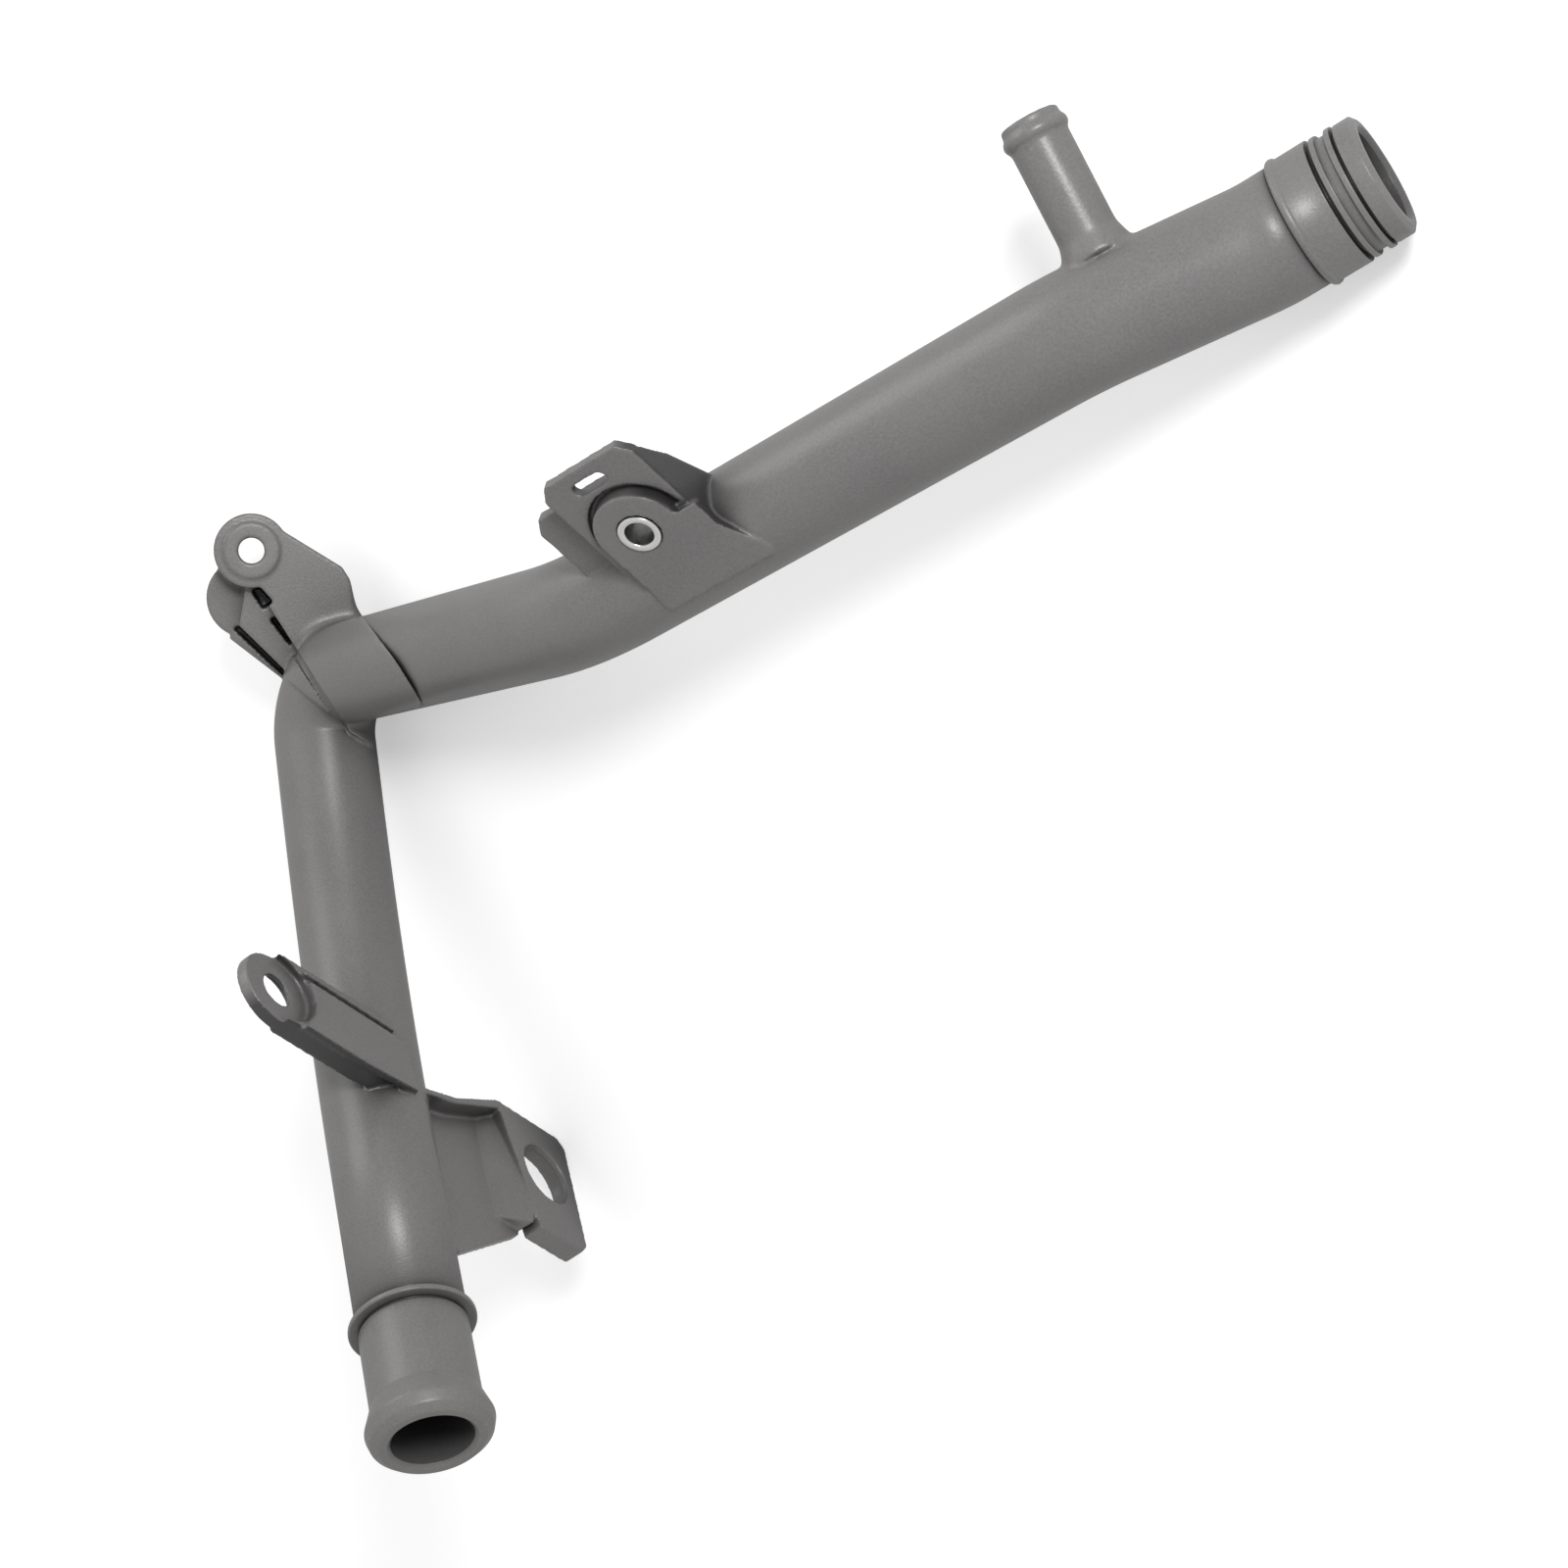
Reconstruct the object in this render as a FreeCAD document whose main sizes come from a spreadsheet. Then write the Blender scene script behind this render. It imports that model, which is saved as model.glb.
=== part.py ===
"""Coolant pipe: a moulded elbow pipe with an O-ring spigot, a hose end, a heater stub and three brackets.

The pipe is laid out in its own frame first: the elbow's corner is the origin, the long arm runs
towards +X and the leg towards -Y. At the end it is turned as it lies on a floor.
"""
import FreeCAD, Part
import math
import os

import Sketcher
from FreeCAD import Placement, Rotation, Vector

SIZES = [
    # the tube and its route, from the elbow outwards; headings turn from +X, climbs rise towards +Z
    ("tube_radius", 17.5, "outside of the tube"),
    ("bore_radius", 12.8, "inside of the tube"),
    ("arm_low_run", 163.9, "elbow to the sweeping bend"),
    ("arm_low_heading", -10.4, "degrees"),
    ("arm_low_climb", 6.7, "degrees"),
    ("arm_main_run", 192.2, "sweeping bend to the bend by the stub"),
    ("arm_main_heading", 8.1, "degrees"),
    ("arm_main_climb", -2, "degrees"),
    ("arm_high_run", 54.6, "bend by the stub to the spigot's bend"),
    ("arm_high_heading", 15.9, "degrees"),
    ("arm_high_climb", -19.6, "degrees"),
    ("spigot_run", 36.2, "spigot's bend to the rim"),
    ("spigot_heading", 17, "degrees"),
    ("spigot_climb", -10, "degrees"),
    ("leg_top_run", 110.7, "elbow to the leg's bend"),
    ("leg_top_heading", -89.2, "degrees"),
    ("leg_top_climb", -11.7, "degrees"),
    ("leg_low_run", 184.4, "leg's bend to the hose end"),
    ("leg_low_heading", -63.1, "degrees"),
    ("leg_low_climb", 7.1, "degrees"),
    ("elbow_bend", 19.5, "centre line radius"),
    ("sweep_bend", 120, "centre line radius"),
    ("stub_bend", 60, "centre line radius"),
    ("spigot_bend", 50, "centre line radius"),
    ("leg_bend", 255, "centre line radius"),
    # the spigot that takes the O-ring, from its rim inwards
    ("mouth_chamfer", 1.2, "chamfer inside each mouth"),
    ("rim_radius", 15.8, "flat rim of the spigot"),
    ("rim_round", 1.2, "lead-in of the rim"),
    ("nose_radius", 17.0, "nose in front of the O-ring groove"),
    ("nose_length", 6.2, "rim to the first rib"),
    ("rib_radius", 17.8, "the two ribs beside the groove"),
    ("rib_width", 1.6, "each rib"),
    ("groove_width", 3.6, "seat of the O-ring"),
    ("groove_radius", 16.3, "floor of the seat"),
    ("relief_width", 1.8, "relief behind the second rib"),
    ("land_radius", 18.1, "sealing land"),
    ("land_length", 9.4, "sealing land up to the stop bead"),
    ("stop_bead_radius", 19.1, "stop bead of the spigot"),
    ("stop_bead_round", 1.5, "section radius of the stop bead"),
    # the hose end of the leg
    ("hose_end_length", 42.6, "collar to the mouth"),
    ("hose_end_radius", 17.4, "where the hose clamps"),
    ("collar_radius", 20.2, "collar that stops the hose"),
    ("collar_round", 1.6, "section radius of the collar"),
    ("hose_bead_radius", 20.2, "barb bead"),
    ("hose_bead_round", 3.2, "section radius of the barb bead"),
    ("hose_bead_place", 6.0, "mouth to the bead's crest"),
    ("hose_lip_radius", 16.0, "flat lip round the mouth"),
    ("hose_lip_round", 2.2, "rounding of the lip"),
    # the heater stub
    ("stub_place", 14.7, "beyond the bend on the arm"),
    ("stub_clock", 145.6, "degrees round the arm from the outer side"),
    ("stub_lean", 4.3, "degrees, back towards the elbow"),
    ("stub_reach", 57.3, "arm's centre line to the stub's end"),
    ("stub_radius", 8.5, "outside of the stub"),
    ("stub_bore_radius", 5.8, "inside of the stub"),
    ("stub_bead_radius", 9.6, "barb bead"),
    ("stub_bead_round", 2.4, "section radius of the bead"),
    ("stub_bead_place", 4.5, "stub's end to the bead's crest"),
    ("stub_foot", 15.9, "flared foot radius at the arm's centre line"),
    ("stub_foot_height", 5, "height of the flared foot"),
    ("face_rise", 0.5, "bracket faces stand proud of the tube"),
    ("clearance", 1, "cutters run past the solid"),
    # bracket at the elbow, measured in its front face; x runs from the elbow to the bolt
    ("ear_heading", -29.1, "degrees, the way its bolt comes in"),
    ("ear_climb", 30.8, "degrees"),
    ("ear_along_heading", 95, "degrees, elbow towards the bolt"),
    ("ear_along_climb", 43.3, "degrees"),
    ("ear_root", 6, "how far the front plate runs back over the elbow"),
    ("ear_low_root", 3, "where the steps start on the elbow"),
    ("ear_bolt_x", 50.5, "bolt from the elbow"),
    ("ear_bolt_y", -5, "bolt across the plate"),
    ("ear_bolt_radius", 4.5, "clearance hole"),
    ("ear_boss_radius", 12.8, "round end"),
    ("ear_pad_radius", 9.6, "raised pad round the hole"),
    ("ear_pad_rise", 1, "raised pad"),
    ("ear_outer", -24.9, "outer edge of the front plate"),
    ("ear_inner", 0.3, "inner edge of the front plate"),
    ("ear_shoulder_x", 24.5, "shoulder on the outer edge"),
    ("ear_shoulder_y", -28.1, "shoulder on the outer edge"),
    ("ear_shoulder_run", 5, "length of the shoulder"),
    ("ear_shoulder_ramp", 9, "ramp up to the shoulder"),
    ("ear_plate", 6, "front plate"),
    ("ear_step", 5, "front face to the middle step"),
    ("ear_step_root", 6, "edge of the middle step at the elbow"),
    ("ear_step_end", 12.5, "edge of the middle step at its end"),
    ("ear_step_x", 31, "end of the middle step"),
    ("ear_low_step", 11, "front face to the rear step"),
    ("ear_depth", 20, "front face to the back"),
    ("ear_lobe_x", 37.5, "round end of the rear step"),
    ("ear_lobe_y", 5, "round end of the rear step"),
    ("ear_lobe_radius", 14, "round end of the rear step"),
    ("ear_lobe_root", 8.5, "edge of the rear step at the elbow"),
    ("ear_groove_width", 2.2, "moulded grooves between the steps"),
    ("ear_groove_floor", 15, "front face to the floor of the grooves"),
    ("ear_groove_start", 15.6, "groove beside the front plate"),
    ("ear_groove_end", 27.3, "groove beside the front plate"),
    ("ear_notch_start", 31.6, "short groove by the round end"),
    ("ear_notch_end", 39, "short groove by the round end"),
    ("ear_wall", 3.5, "walls left round the hollow in the back"),
    ("ear_hollow_floor", 9, "front face to the floor of the hollow"),
    ("ear_hollow_start", 12, "inner end of the hollow"),
    ("ear_hollow_end", 30, "outer end of the hollow"),
    ("ear_hollow_shoulder", -12.5, "outer end of the hollow's long side"),
    # bracket on the arm, measured in its own face; x runs along the arm from the sweeping bend
    ("pad_clock", 21.7, "degrees round the arm"),
    ("pad_bolt_x", 53.3, "bolt along the arm"),
    ("pad_bolt_y", 23.8, "bolt above the centre line"),
    ("pad_boss_radius", 14, "round face round the bolt"),
    ("pad_boss_depth", 12, "round face to the back of the boss"),
    ("pad_step", 3.3, "face to the stepped-back plate"),
    ("pad_plate", 3.6, "stepped-back plate"),
    ("pad_left", 35, "inner edge of the plate"),
    ("pad_right", 71, "outer edge of the plate"),
    ("pad_top", 50.4, "upper edge of the plate"),
    ("pad_corner_x", 3.8, "cut corner along the plate"),
    ("pad_corner_y", 4.4, "cut corner down the plate"),
    ("pad_foot", -4, "where the face runs out on the tube"),
    ("pad_skirt_depth", 9, "block that ties the face to the tube"),
    ("pad_skirt_draft", 28, "degrees, flare of the block towards the tube"),
    ("pad_skirt_right", 75.4, "outer edge of the block"),
    ("pad_skirt_waist", 14, "where its edge starts to run out"),
    ("pad_skirt_end", 82, "outer end of the run-out"),
    ("bush_radius", 6.5, "outside of the metal bush"),
    ("bush_bore_radius", 4.3, "clearance for the bolt"),
    ("bush_proud", 0.6, "bush above the face"),
    ("slot_length", 12.5, "slot by the upper edge"),
    ("slot_width", 4.4, "slot by the upper edge"),
    ("slot_x", 51.5, "slot along the arm"),
    ("slot_y", 43.9, "slot above the centre line"),
    ("gusset_thickness", 4, "gusset along the outer edge"),
    ("gusset_drop", 20, "gusset's depth at the tube"),
    ("buttress_below", 9, "face to the buttress behind the plate"),
    ("buttress_thickness", 4, "buttress"),
    ("buttress_top", 39.5, "buttress above the centre line"),
    ("buttress_left", 13.5, "inner end of the buttress on the tube"),
    ("buttress_shoulder", 23.5, "inner end of its upper edge"),
    # bracket on the leg, measured in its own face; x runs along the leg from its bend
    ("flange_clock", -167, "degrees round the leg"),
    ("flange_depth", 7.5, "face to the web"),
    ("flange_wall", 2.6, "raised walls round the blade"),
    ("web_thickness", 4, "web"),
    ("blade_skin", 3.2, "flat of the blade"),
    ("blade_top", 33.2, "upper edge of the blade at its end"),
    ("blade_root", 32, "upper edge of the blade on the tube"),
    ("blade_bottom", 61.2, "lower edge of the blade"),
    ("blade_waist", 26, "centre line to where the lower edge starts to curve"),
    ("blade_bolt_y", -62.3, "centre line to the blade's bolt"),
    ("blade_bolt_radius", 5.8, "hole in the blade"),
    ("blade_seat_depth", 3, "seat round the hole"),
    ("blade_seat_radius", 13.6, "seat round the hole"),
    ("blade_lip", 1.6, "thin lip left round the hole"),
    ("blade_lip_radius", 9, "thin lip left round the hole"),
    ("ledge_root", 56.6, "ledge where it leaves the tube"),
    ("ledge_root_y", 4, "ledge where it leaves the tube"),
    ("ledge_middle", 51.5, "ledge half way"),
    ("ledge_middle_y", 22, "ledge half way"),
    ("tab_top", 36.8, "upper edge of the tab"),
    ("tab_bottom", 86.8, "lower edge of the tab"),
    ("tab_inner", 46.5, "centre line to the tab's inner end"),
    ("tab_outer", 83.3, "centre line to the tab's outer edge"),
    ("tab_corner", 3.5, "cut corners"),
    ("tab_waist_x", 70, "inner edge beside the hole"),
    ("tab_waist_y", 54, "inner edge beside the hole"),
    ("tab_plate", 8, "thickness of the tab"),
    ("tab_hole_x", 58.9, "large hole along the leg"),
    ("tab_hole_y", 67.7, "large hole from the centre line"),
    ("tab_hole_radius", 11.5, "large hole"),
    ("web_bottom", 111.2, "web's lower end on the leg"),
    ("web_bottom_y", 18, "web's lower end on the leg"),
    ("web_outer", 54.5, "centre line to the web's end under the tab"),
    # how the finished pipe lies on the floor
    ("rest_roll", -27.739, "degrees about X"),
    ("rest_pitch", -2.607, "degrees about Y"),
]

doc = FreeCAD.newDocument("coolant_pipe")
sheet = doc.addObject("Spreadsheet::Sheet", "Sizes")
for row, (alias, value, note) in enumerate(SIZES, start=1):
    sheet.set(f"A{row}", note)
    sheet.set(f"B{row}", str(value))
    sheet.setAlias(f"B{row}", alias)
doc.recompute()


class Size:
    """A length or an angle that carries the sheet expression it comes from."""

    def __init__(self, value, text):
        self.value = float(value)
        self.text = text

    def joined(self, other, sign, result):
        other = as_size(other)
        return Size(result(self.value, other.value), f"({self.text} {sign} {other.text})")

    def __add__(self, other):
        return self.joined(other, "+", lambda a, b: a + b)

    def __sub__(self, other):
        return self.joined(other, "-", lambda a, b: a - b)

    def __mul__(self, other):
        return self.joined(other, "*", lambda a, b: a * b)

    def __truediv__(self, other):
        return self.joined(other, "/", lambda a, b: a / b)

    def __neg__(self):
        return Size(0, "0") - self


def as_size(number):
    return number if isinstance(number, Size) else Size(number, str(number))


def size(alias):
    return Size(sheet.get(alias), f"Sizes.{alias}")


def mm(alias):
    return float(sheet.get(alias))


def make(kind, name, placement=None, **sizes):
    """Adds an object and binds its sizes to the sheet."""
    made = doc.addObject(kind, name)
    for key, value in sizes.items():
        made.setExpression(key, as_size(value).text)
    if placement is not None:
        made.Placement = placement
    return made


def body_of(name, placement):
    body = doc.addObject("PartDesign::Body", name)
    body.Placement = placement
    return body


def sketch_on(body, name, role="XY_Plane"):
    plane = [part for part in body.Origin.OriginFeatures if part.Role == role][0]
    sketch = body.newObject("Sketcher::SketchObject", name)
    sketch.AttachmentSupport = [(plane, "")]
    sketch.MapMode = "FlatFace"
    return sketch


def outline(sketch, corners):
    """Draws a closed outline with every corner held at its sizes."""
    points = [Vector(as_size(x).value, as_size(y).value, 0) for x, y in corners]
    count = len(points)
    for start, end in zip(points, points[1:] + points[:1]):
        sketch.addGeometry(Part.LineSegment(start, end), False)
    for edge in range(count):
        sketch.addConstraint(Sketcher.Constraint("Coincident", edge, 2, (edge + 1) % count, 1))
    for edge, ((x, y), point) in enumerate(zip(corners, points)):
        for kind, value, now in (("DistanceX", x, point.x), ("DistanceY", y, point.y)):
            held = sketch.addConstraint(Sketcher.Constraint(kind, edge, 1, now))
            sketch.setExpression(f"Constraints[{held}]", as_size(value).text)


def plate(name, placement, corners, thickness, below=0):
    """A flat plate behind its face: the face is the XY plane, moved back by `below`."""
    body = body_of(name, placement)
    sketch = sketch_on(body, f"{name}_outline")
    outline(sketch, corners)
    sketch.AttachmentOffset = Placement(Vector(0, 0, -as_size(below).value), Rotation())
    if isinstance(below, Size):
        sketch.setExpression("AttachmentOffset.Base.z", (-below).text)
    pad = body.newObject("PartDesign::Pad", f"{name}_pad")
    pad.Profile = sketch
    pad.Reversed = True
    pad.setExpression("Length", as_size(thickness).text)
    body.Tip = pad
    return body


def turned(name, placement, corners):
    """A solid of revolution about its own X axis."""
    body = body_of(name, placement)
    sketch = sketch_on(body, f"{name}_profile")
    outline(sketch, corners)
    spin = body.newObject("PartDesign::Revolution", f"{name}_turn")
    spin.Profile = sketch
    spin.ReferenceAxis = (sketch, ["H_Axis"])
    spin.Angle = 360
    body.Tip = spin
    return body


def direction(name):
    heading = math.radians(mm(f"{name}_heading"))
    climb = math.radians(mm(f"{name}_climb"))
    flat = math.cos(climb)
    return Vector(flat * math.cos(heading), flat * math.sin(heading), math.sin(climb))


def beside(along, clock):
    """The direction square to a run, turned round it from its outer side by `clock` degrees."""
    side = along.cross(Vector(0, 0, 1)).normalize()
    up = side.cross(along)
    angle = math.radians(clock)
    return side * math.cos(angle) + up * math.sin(angle)


def facing(origin, normal, along):
    """A placement with Z along the normal and X near the direction `along`."""
    return Placement(origin, Rotation(along, Vector(), normal, "ZXY"))


def rounded_path(points, radii):
    """Straight runs joined by tangent arcs."""
    edges = []
    start = points[0]
    for before, corner, after, radius in zip(points, points[1:], points[2:], radii):
        come = (corner - before).normalize()
        leave = (after - corner).normalize()
        half_turn = come.getAngle(leave) / 2
        reach = radius * math.tan(half_turn)
        first = corner - come * reach
        last = corner + leave * reach
        inward = (leave - come).normalize()
        middle = corner + inward * (radius / math.cos(half_turn) - radius)
        edges.append(Part.LineSegment(start, first).toShape())
        edges.append(Part.Arc(first, middle, last).toShape())
        start = last
    edges.append(Part.LineSegment(start, points[-1]).toShape())
    return Part.Wire(edges)


def swept(name, route, start, along, radius):
    ring = make("Part::Circle", f"{name}_ring", facing(start, along, Vector(0, 0, 1)), Radius=radius)
    tube = doc.addObject("Part::Sweep", name)
    tube.Sections = [ring]
    tube.Spine = (route, [f"Edge{n + 1}" for n in range(len(route.Shape.Edges))])
    tube.Solid = True
    tube.Frenet = False
    return tube


# the route of the centre line
arm_low = direction("arm_low")
arm_main = direction("arm_main")
arm_high = direction("arm_high")
spigot_way = direction("spigot")
leg_top = direction("leg_top")
leg_low = direction("leg_low")

elbow = Vector(0, 0, 0)
sweep_corner = elbow + arm_low * mm("arm_low_run")
stub_corner = sweep_corner + arm_main * mm("arm_main_run")
spigot_corner = stub_corner + arm_high * mm("arm_high_run")
rim = spigot_corner + spigot_way * mm("spigot_run")
leg_corner = elbow + leg_top * mm("leg_top_run")
mouth = leg_corner + leg_low * mm("leg_low_run")

corners = [spigot_corner, stub_corner, sweep_corner, elbow, leg_corner]
radii = [mm(f"{name}_bend") for name in ("spigot", "stub", "sweep", "elbow", "leg")]

groove_at = size("nose_length") + size("rib_width")
land_at = groove_at + size("groove_width") + size("rib_width") + size("relief_width")
bead_at = land_at + size("land_length")
stop_at = rim - spigot_way * bead_at.value
skin_start = stop_at + spigot_way * (mm("stop_bead_round") / 2)
collar_at = mouth - leg_low * mm("hose_end_length")
skin_end = collar_at + leg_low * (mm("collar_round") / 2)

skin_route = doc.addObject("Part::Feature", "skin_route")
skin_route.Shape = rounded_path([skin_start] + corners + [skin_end], radii)
skin = swept("skin", skin_route, skin_start, spigot_way, size("tube_radius"))

bore_route = doc.addObject("Part::Feature", "bore_route")
bore_route.Shape = rounded_path([rim] + corners + [mouth], radii)
bore = swept("bore", bore_route, rim, spigot_way, size("bore_radius"))

# the spigot: nose, rib, groove, rib, relief and land, turned about its axis from the rim inwards
spigot_frame = facing(rim, Vector(0, 0, 1).cross(spigot_way), -spigot_way)
second_rib = groove_at + size("groove_width")
spigot = turned("spigot", spigot_frame, [
    (0, 0),
    (0, size("rim_radius")),
    (size("rim_round"), size("nose_radius")),
    (size("nose_length"), size("nose_radius")),
    (size("nose_length"), size("rib_radius")),
    (groove_at, size("rib_radius")),
    (groove_at, size("groove_radius")),
    (second_rib, size("groove_radius")),
    (second_rib, size("rib_radius")),
    (second_rib + size("rib_width"), size("rib_radius")),
    (second_rib + size("rib_width"), size("groove_radius")),
    (land_at, size("groove_radius")),
    (land_at, size("land_radius")),
    (bead_at, size("land_radius")),
    (bead_at, 0),
])


def across(origin, along):
    """A placement with Z along a run, for rings and cylinders on it."""
    return Placement(origin, Rotation(Vector(0, 0, 1), along))


def bead(name, origin, along, crest, section):
    return make("Part::Torus", name, across(origin, along), Radius1=crest - section, Radius2=section)


stop_bead = bead("stop_bead", stop_at, spigot_way, size("stop_bead_radius"), size("stop_bead_round"))
collar = bead("collar", collar_at, leg_low, size("collar_radius"), size("collar_round"))
hose_bead = bead("hose_bead", mouth - leg_low * mm("hose_bead_place"), leg_low,
                 size("hose_bead_radius"), size("hose_bead_round"))

# the hose end: a plain barrel whose lip is rounded off towards the mouth
hose_frame = facing(mouth, Vector(0, 0, 1).cross(leg_low), -leg_low)
hose_end = turned("hose_end", hose_frame, [
    (0, 0),
    (0, size("hose_lip_radius")),
    (size("hose_lip_round"), size("hose_bead_radius") - size("hose_bead_round") / 2),
    (size("hose_bead_place"), size("hose_bead_radius") - size("hose_bead_round") / 2),
    (size("hose_bead_place") + size("hose_bead_round"), size("hose_end_radius")),
    (size("hose_end_length"), size("hose_end_radius")),
    (size("hose_end_length"), 0),
])

# the heater stub leans back from square to the arm
stub_lean = math.radians(mm("stub_lean"))
stub_way = beside(arm_high, mm("stub_clock")) * math.cos(stub_lean) - arm_high * math.sin(stub_lean)
stub_root = stub_corner + arm_high * mm("stub_place")
stub_end = stub_root + stub_way * mm("stub_reach")
stub = make("Part::Cylinder", "stub", across(stub_root, stub_way), Radius=size("stub_radius"),
            Height=size("stub_reach"))
stub_bead = bead("stub_bead", stub_end - stub_way * mm("stub_bead_place"), stub_way,
                 size("stub_bead_radius"), size("stub_bead_round"))
stub_foot = make("Part::Cone", "stub_foot", across(stub_root, stub_way),
                 Radius1=size("stub_foot"), Radius2=size("stub_radius"),
                 Height=size("tube_radius") + size("stub_foot_height"))
stub_bore = make("Part::Cylinder", "stub_bore", across(stub_root, stub_way),
                 Radius=size("stub_bore_radius"), Height=size("stub_reach") + size("clearance"))

# mouth chamfers
chamfers = []
for name, place, way, radius in (
        ("rim", rim, spigot_way, "bore_radius"),
        ("hose", mouth, leg_low, "bore_radius"),
        ("stub", stub_end, stub_way, "stub_bore_radius"),
):
    chamfer = make("Part::Cone", f"{name}_chamfer", across(place, -way),
                   Radius1=size(radius) + size("mouth_chamfer"), Radius2=size(radius),
                   Height=size("mouth_chamfer"))
    chamfers.append(chamfer)


def on_plate(frame, x, y, z=0):
    """A placement in a plate's own frame, Z still along the plate's normal."""
    return frame * Placement(Vector(as_size(x).value, as_size(y).value, as_size(z).value), Rotation())


def peg(name, frame, spot, top, length, radius):
    """A round post square to a plate, from `top` above its face down by `length`."""
    return make("Part::Cylinder", name, on_plate(frame, *spot, top - length), Radius=radius, Height=length)


face_height = mm("tube_radius") + mm("face_rise")
past = size("clearance")
none = Size(0, "0")

# bracket at the elbow: a front plate and two steps behind it, hollow from the back
ear_face = direction("ear")
ear_frame = facing(elbow + ear_face * face_height, ear_face, direction("ear_along"))
ear_bolt = (size("ear_bolt_x"), size("ear_bolt_y"))
ear_root = -size("ear_root")
ramp_start = size("ear_shoulder_x") - size("ear_shoulder_ramp")
ear_front = plate("ear_front", ear_frame, [
    (ear_root, size("ear_outer")),
    (ramp_start, size("ear_outer")),
    (size("ear_shoulder_x"), size("ear_shoulder_y")),
    (size("ear_shoulder_x") + size("ear_shoulder_run"), size("ear_shoulder_y")),
    (size("ear_bolt_x"), size("ear_bolt_y") - size("ear_boss_radius")),
    (size("ear_bolt_x"), size("ear_inner")),
    (ear_root, size("ear_inner")),
], size("ear_plate"))
low_root = size("ear_low_root")
ear_middle = plate("ear_middle", ear_frame, [
    (low_root, size("ear_outer")),
    (ramp_start, size("ear_outer")),
    (size("ear_bolt_x"), size("ear_bolt_y")),
    (size("ear_step_x"), size("ear_step_end")),
    (low_root, size("ear_step_root")),
], size("ear_depth") - size("ear_step"), size("ear_step"))
ear_back = plate("ear_back", ear_frame, [
    (low_root, none),
    (size("ear_lobe_x"), none),
    (size("ear_lobe_x") - size("ear_lobe_root"), size("ear_lobe_y") + size("ear_boss_radius")),
    (low_root, size("ear_lobe_root")),
], size("ear_depth") - size("ear_low_step"), size("ear_low_step"))
ear_lobe = peg("ear_lobe", ear_frame, (size("ear_lobe_x"), size("ear_lobe_y")), -size("ear_low_step"),
               size("ear_depth") - size("ear_low_step"), size("ear_lobe_radius"))
ear_boss = peg("ear_boss", ear_frame, ear_bolt, none, size("ear_depth"), size("ear_boss_radius"))
ear_pad = peg("ear_pad", ear_frame, ear_bolt, size("ear_pad_rise"), size("ear_plate"),
              size("ear_pad_radius"))
ear_hole = peg("ear_hole", ear_frame, ear_bolt, size("ear_pad_rise") + past,
               size("ear_depth") + size("ear_pad_rise") + past * 2, size("ear_bolt_radius"))
ear_notch = plate("ear_notch", ear_frame, [
    (size("ear_notch_start"), size("ear_inner") - size("ear_groove_width")),
    (size("ear_notch_end"), size("ear_inner") - size("ear_groove_width") / 2),
    (size("ear_notch_end"), size("ear_inner") + size("ear_groove_width")),
    (size("ear_notch_start"), size("ear_inner") + size("ear_groove_width")),
], size("ear_groove_floor") + past, -past)
ear_groove = plate("ear_groove", ear_frame, [
    (size("ear_groove_start"), size("ear_inner")),
    (size("ear_groove_end"), size("ear_inner")),
    (size("ear_groove_end"), size("ear_inner") + size("ear_groove_width")),
    (size("ear_groove_start"), size("ear_inner") + size("ear_groove_width") / 2),
], size("ear_groove_floor") + past, -past)
ear_long_groove = plate("ear_long_groove", ear_frame, [
    (none, size("ear_step_root")),
    (size("ear_step_x"), size("ear_step_end")),
    (size("ear_step_x"), size("ear_step_end") + size("ear_groove_width")),
    (none, size("ear_step_root") + size("ear_groove_width") / 2),
], size("ear_groove_floor") + past, -past)
ear_hollow = plate("ear_hollow", ear_frame, [
    (size("ear_hollow_start"), size("ear_outer") + size("ear_wall")),
    (ramp_start + size("ear_wall"), size("ear_outer") + size("ear_wall")),
    (size("ear_hollow_end"), size("ear_hollow_shoulder")),
    (size("ear_hollow_end"), size("ear_inner") - size("ear_groove_width") - size("ear_wall")),
    (size("ear_hollow_start"), size("ear_inner") - size("ear_groove_width") - size("ear_wall")),
], size("ear_depth") - size("ear_hollow_floor") + past, size("ear_hollow_floor"))

# bracket on the arm: a round face with a block behind it, a stepped-back plate, gusset and buttress
pad_face = beside(arm_main, mm("pad_clock"))
pad_frame = facing(sweep_corner + pad_face * face_height, pad_face, arm_main)
pad_bolt = (size("pad_bolt_x"), size("pad_bolt_y"))
into_tube = size("tube_radius") / 2
pad_plate = plate("pad_plate", pad_frame, [
    (size("pad_left"), size("pad_foot")),
    (size("pad_right"), size("pad_foot")),
    (size("pad_right"), size("pad_top") - size("pad_corner_y")),
    (size("pad_right") - size("pad_corner_x"), size("pad_top")),
    (size("pad_left") + size("pad_corner_x"), size("pad_top")),
    (size("pad_left"), size("pad_top") - size("pad_corner_y")),
], size("pad_plate"), size("pad_step"))
pad_boss = peg("pad_boss", pad_frame, pad_bolt, none, size("pad_boss_depth"), size("pad_boss_radius"))
pad_skirt = plate("pad_skirt", pad_frame, [
    (size("pad_bolt_x") - size("pad_boss_radius"), size("pad_foot")),
    (size("pad_skirt_end"), size("pad_foot")),
    (size("pad_skirt_end"), none),
    (size("pad_skirt_right"), size("pad_skirt_waist")),
    (size("pad_skirt_right"), size("pad_bolt_y")),
    (size("pad_bolt_x") - size("pad_boss_radius"), size("pad_bolt_y")),
], size("pad_skirt_depth"))
pad_skirt.Tip.setExpression("TaperAngle", (-size("pad_skirt_draft")).text)
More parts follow.
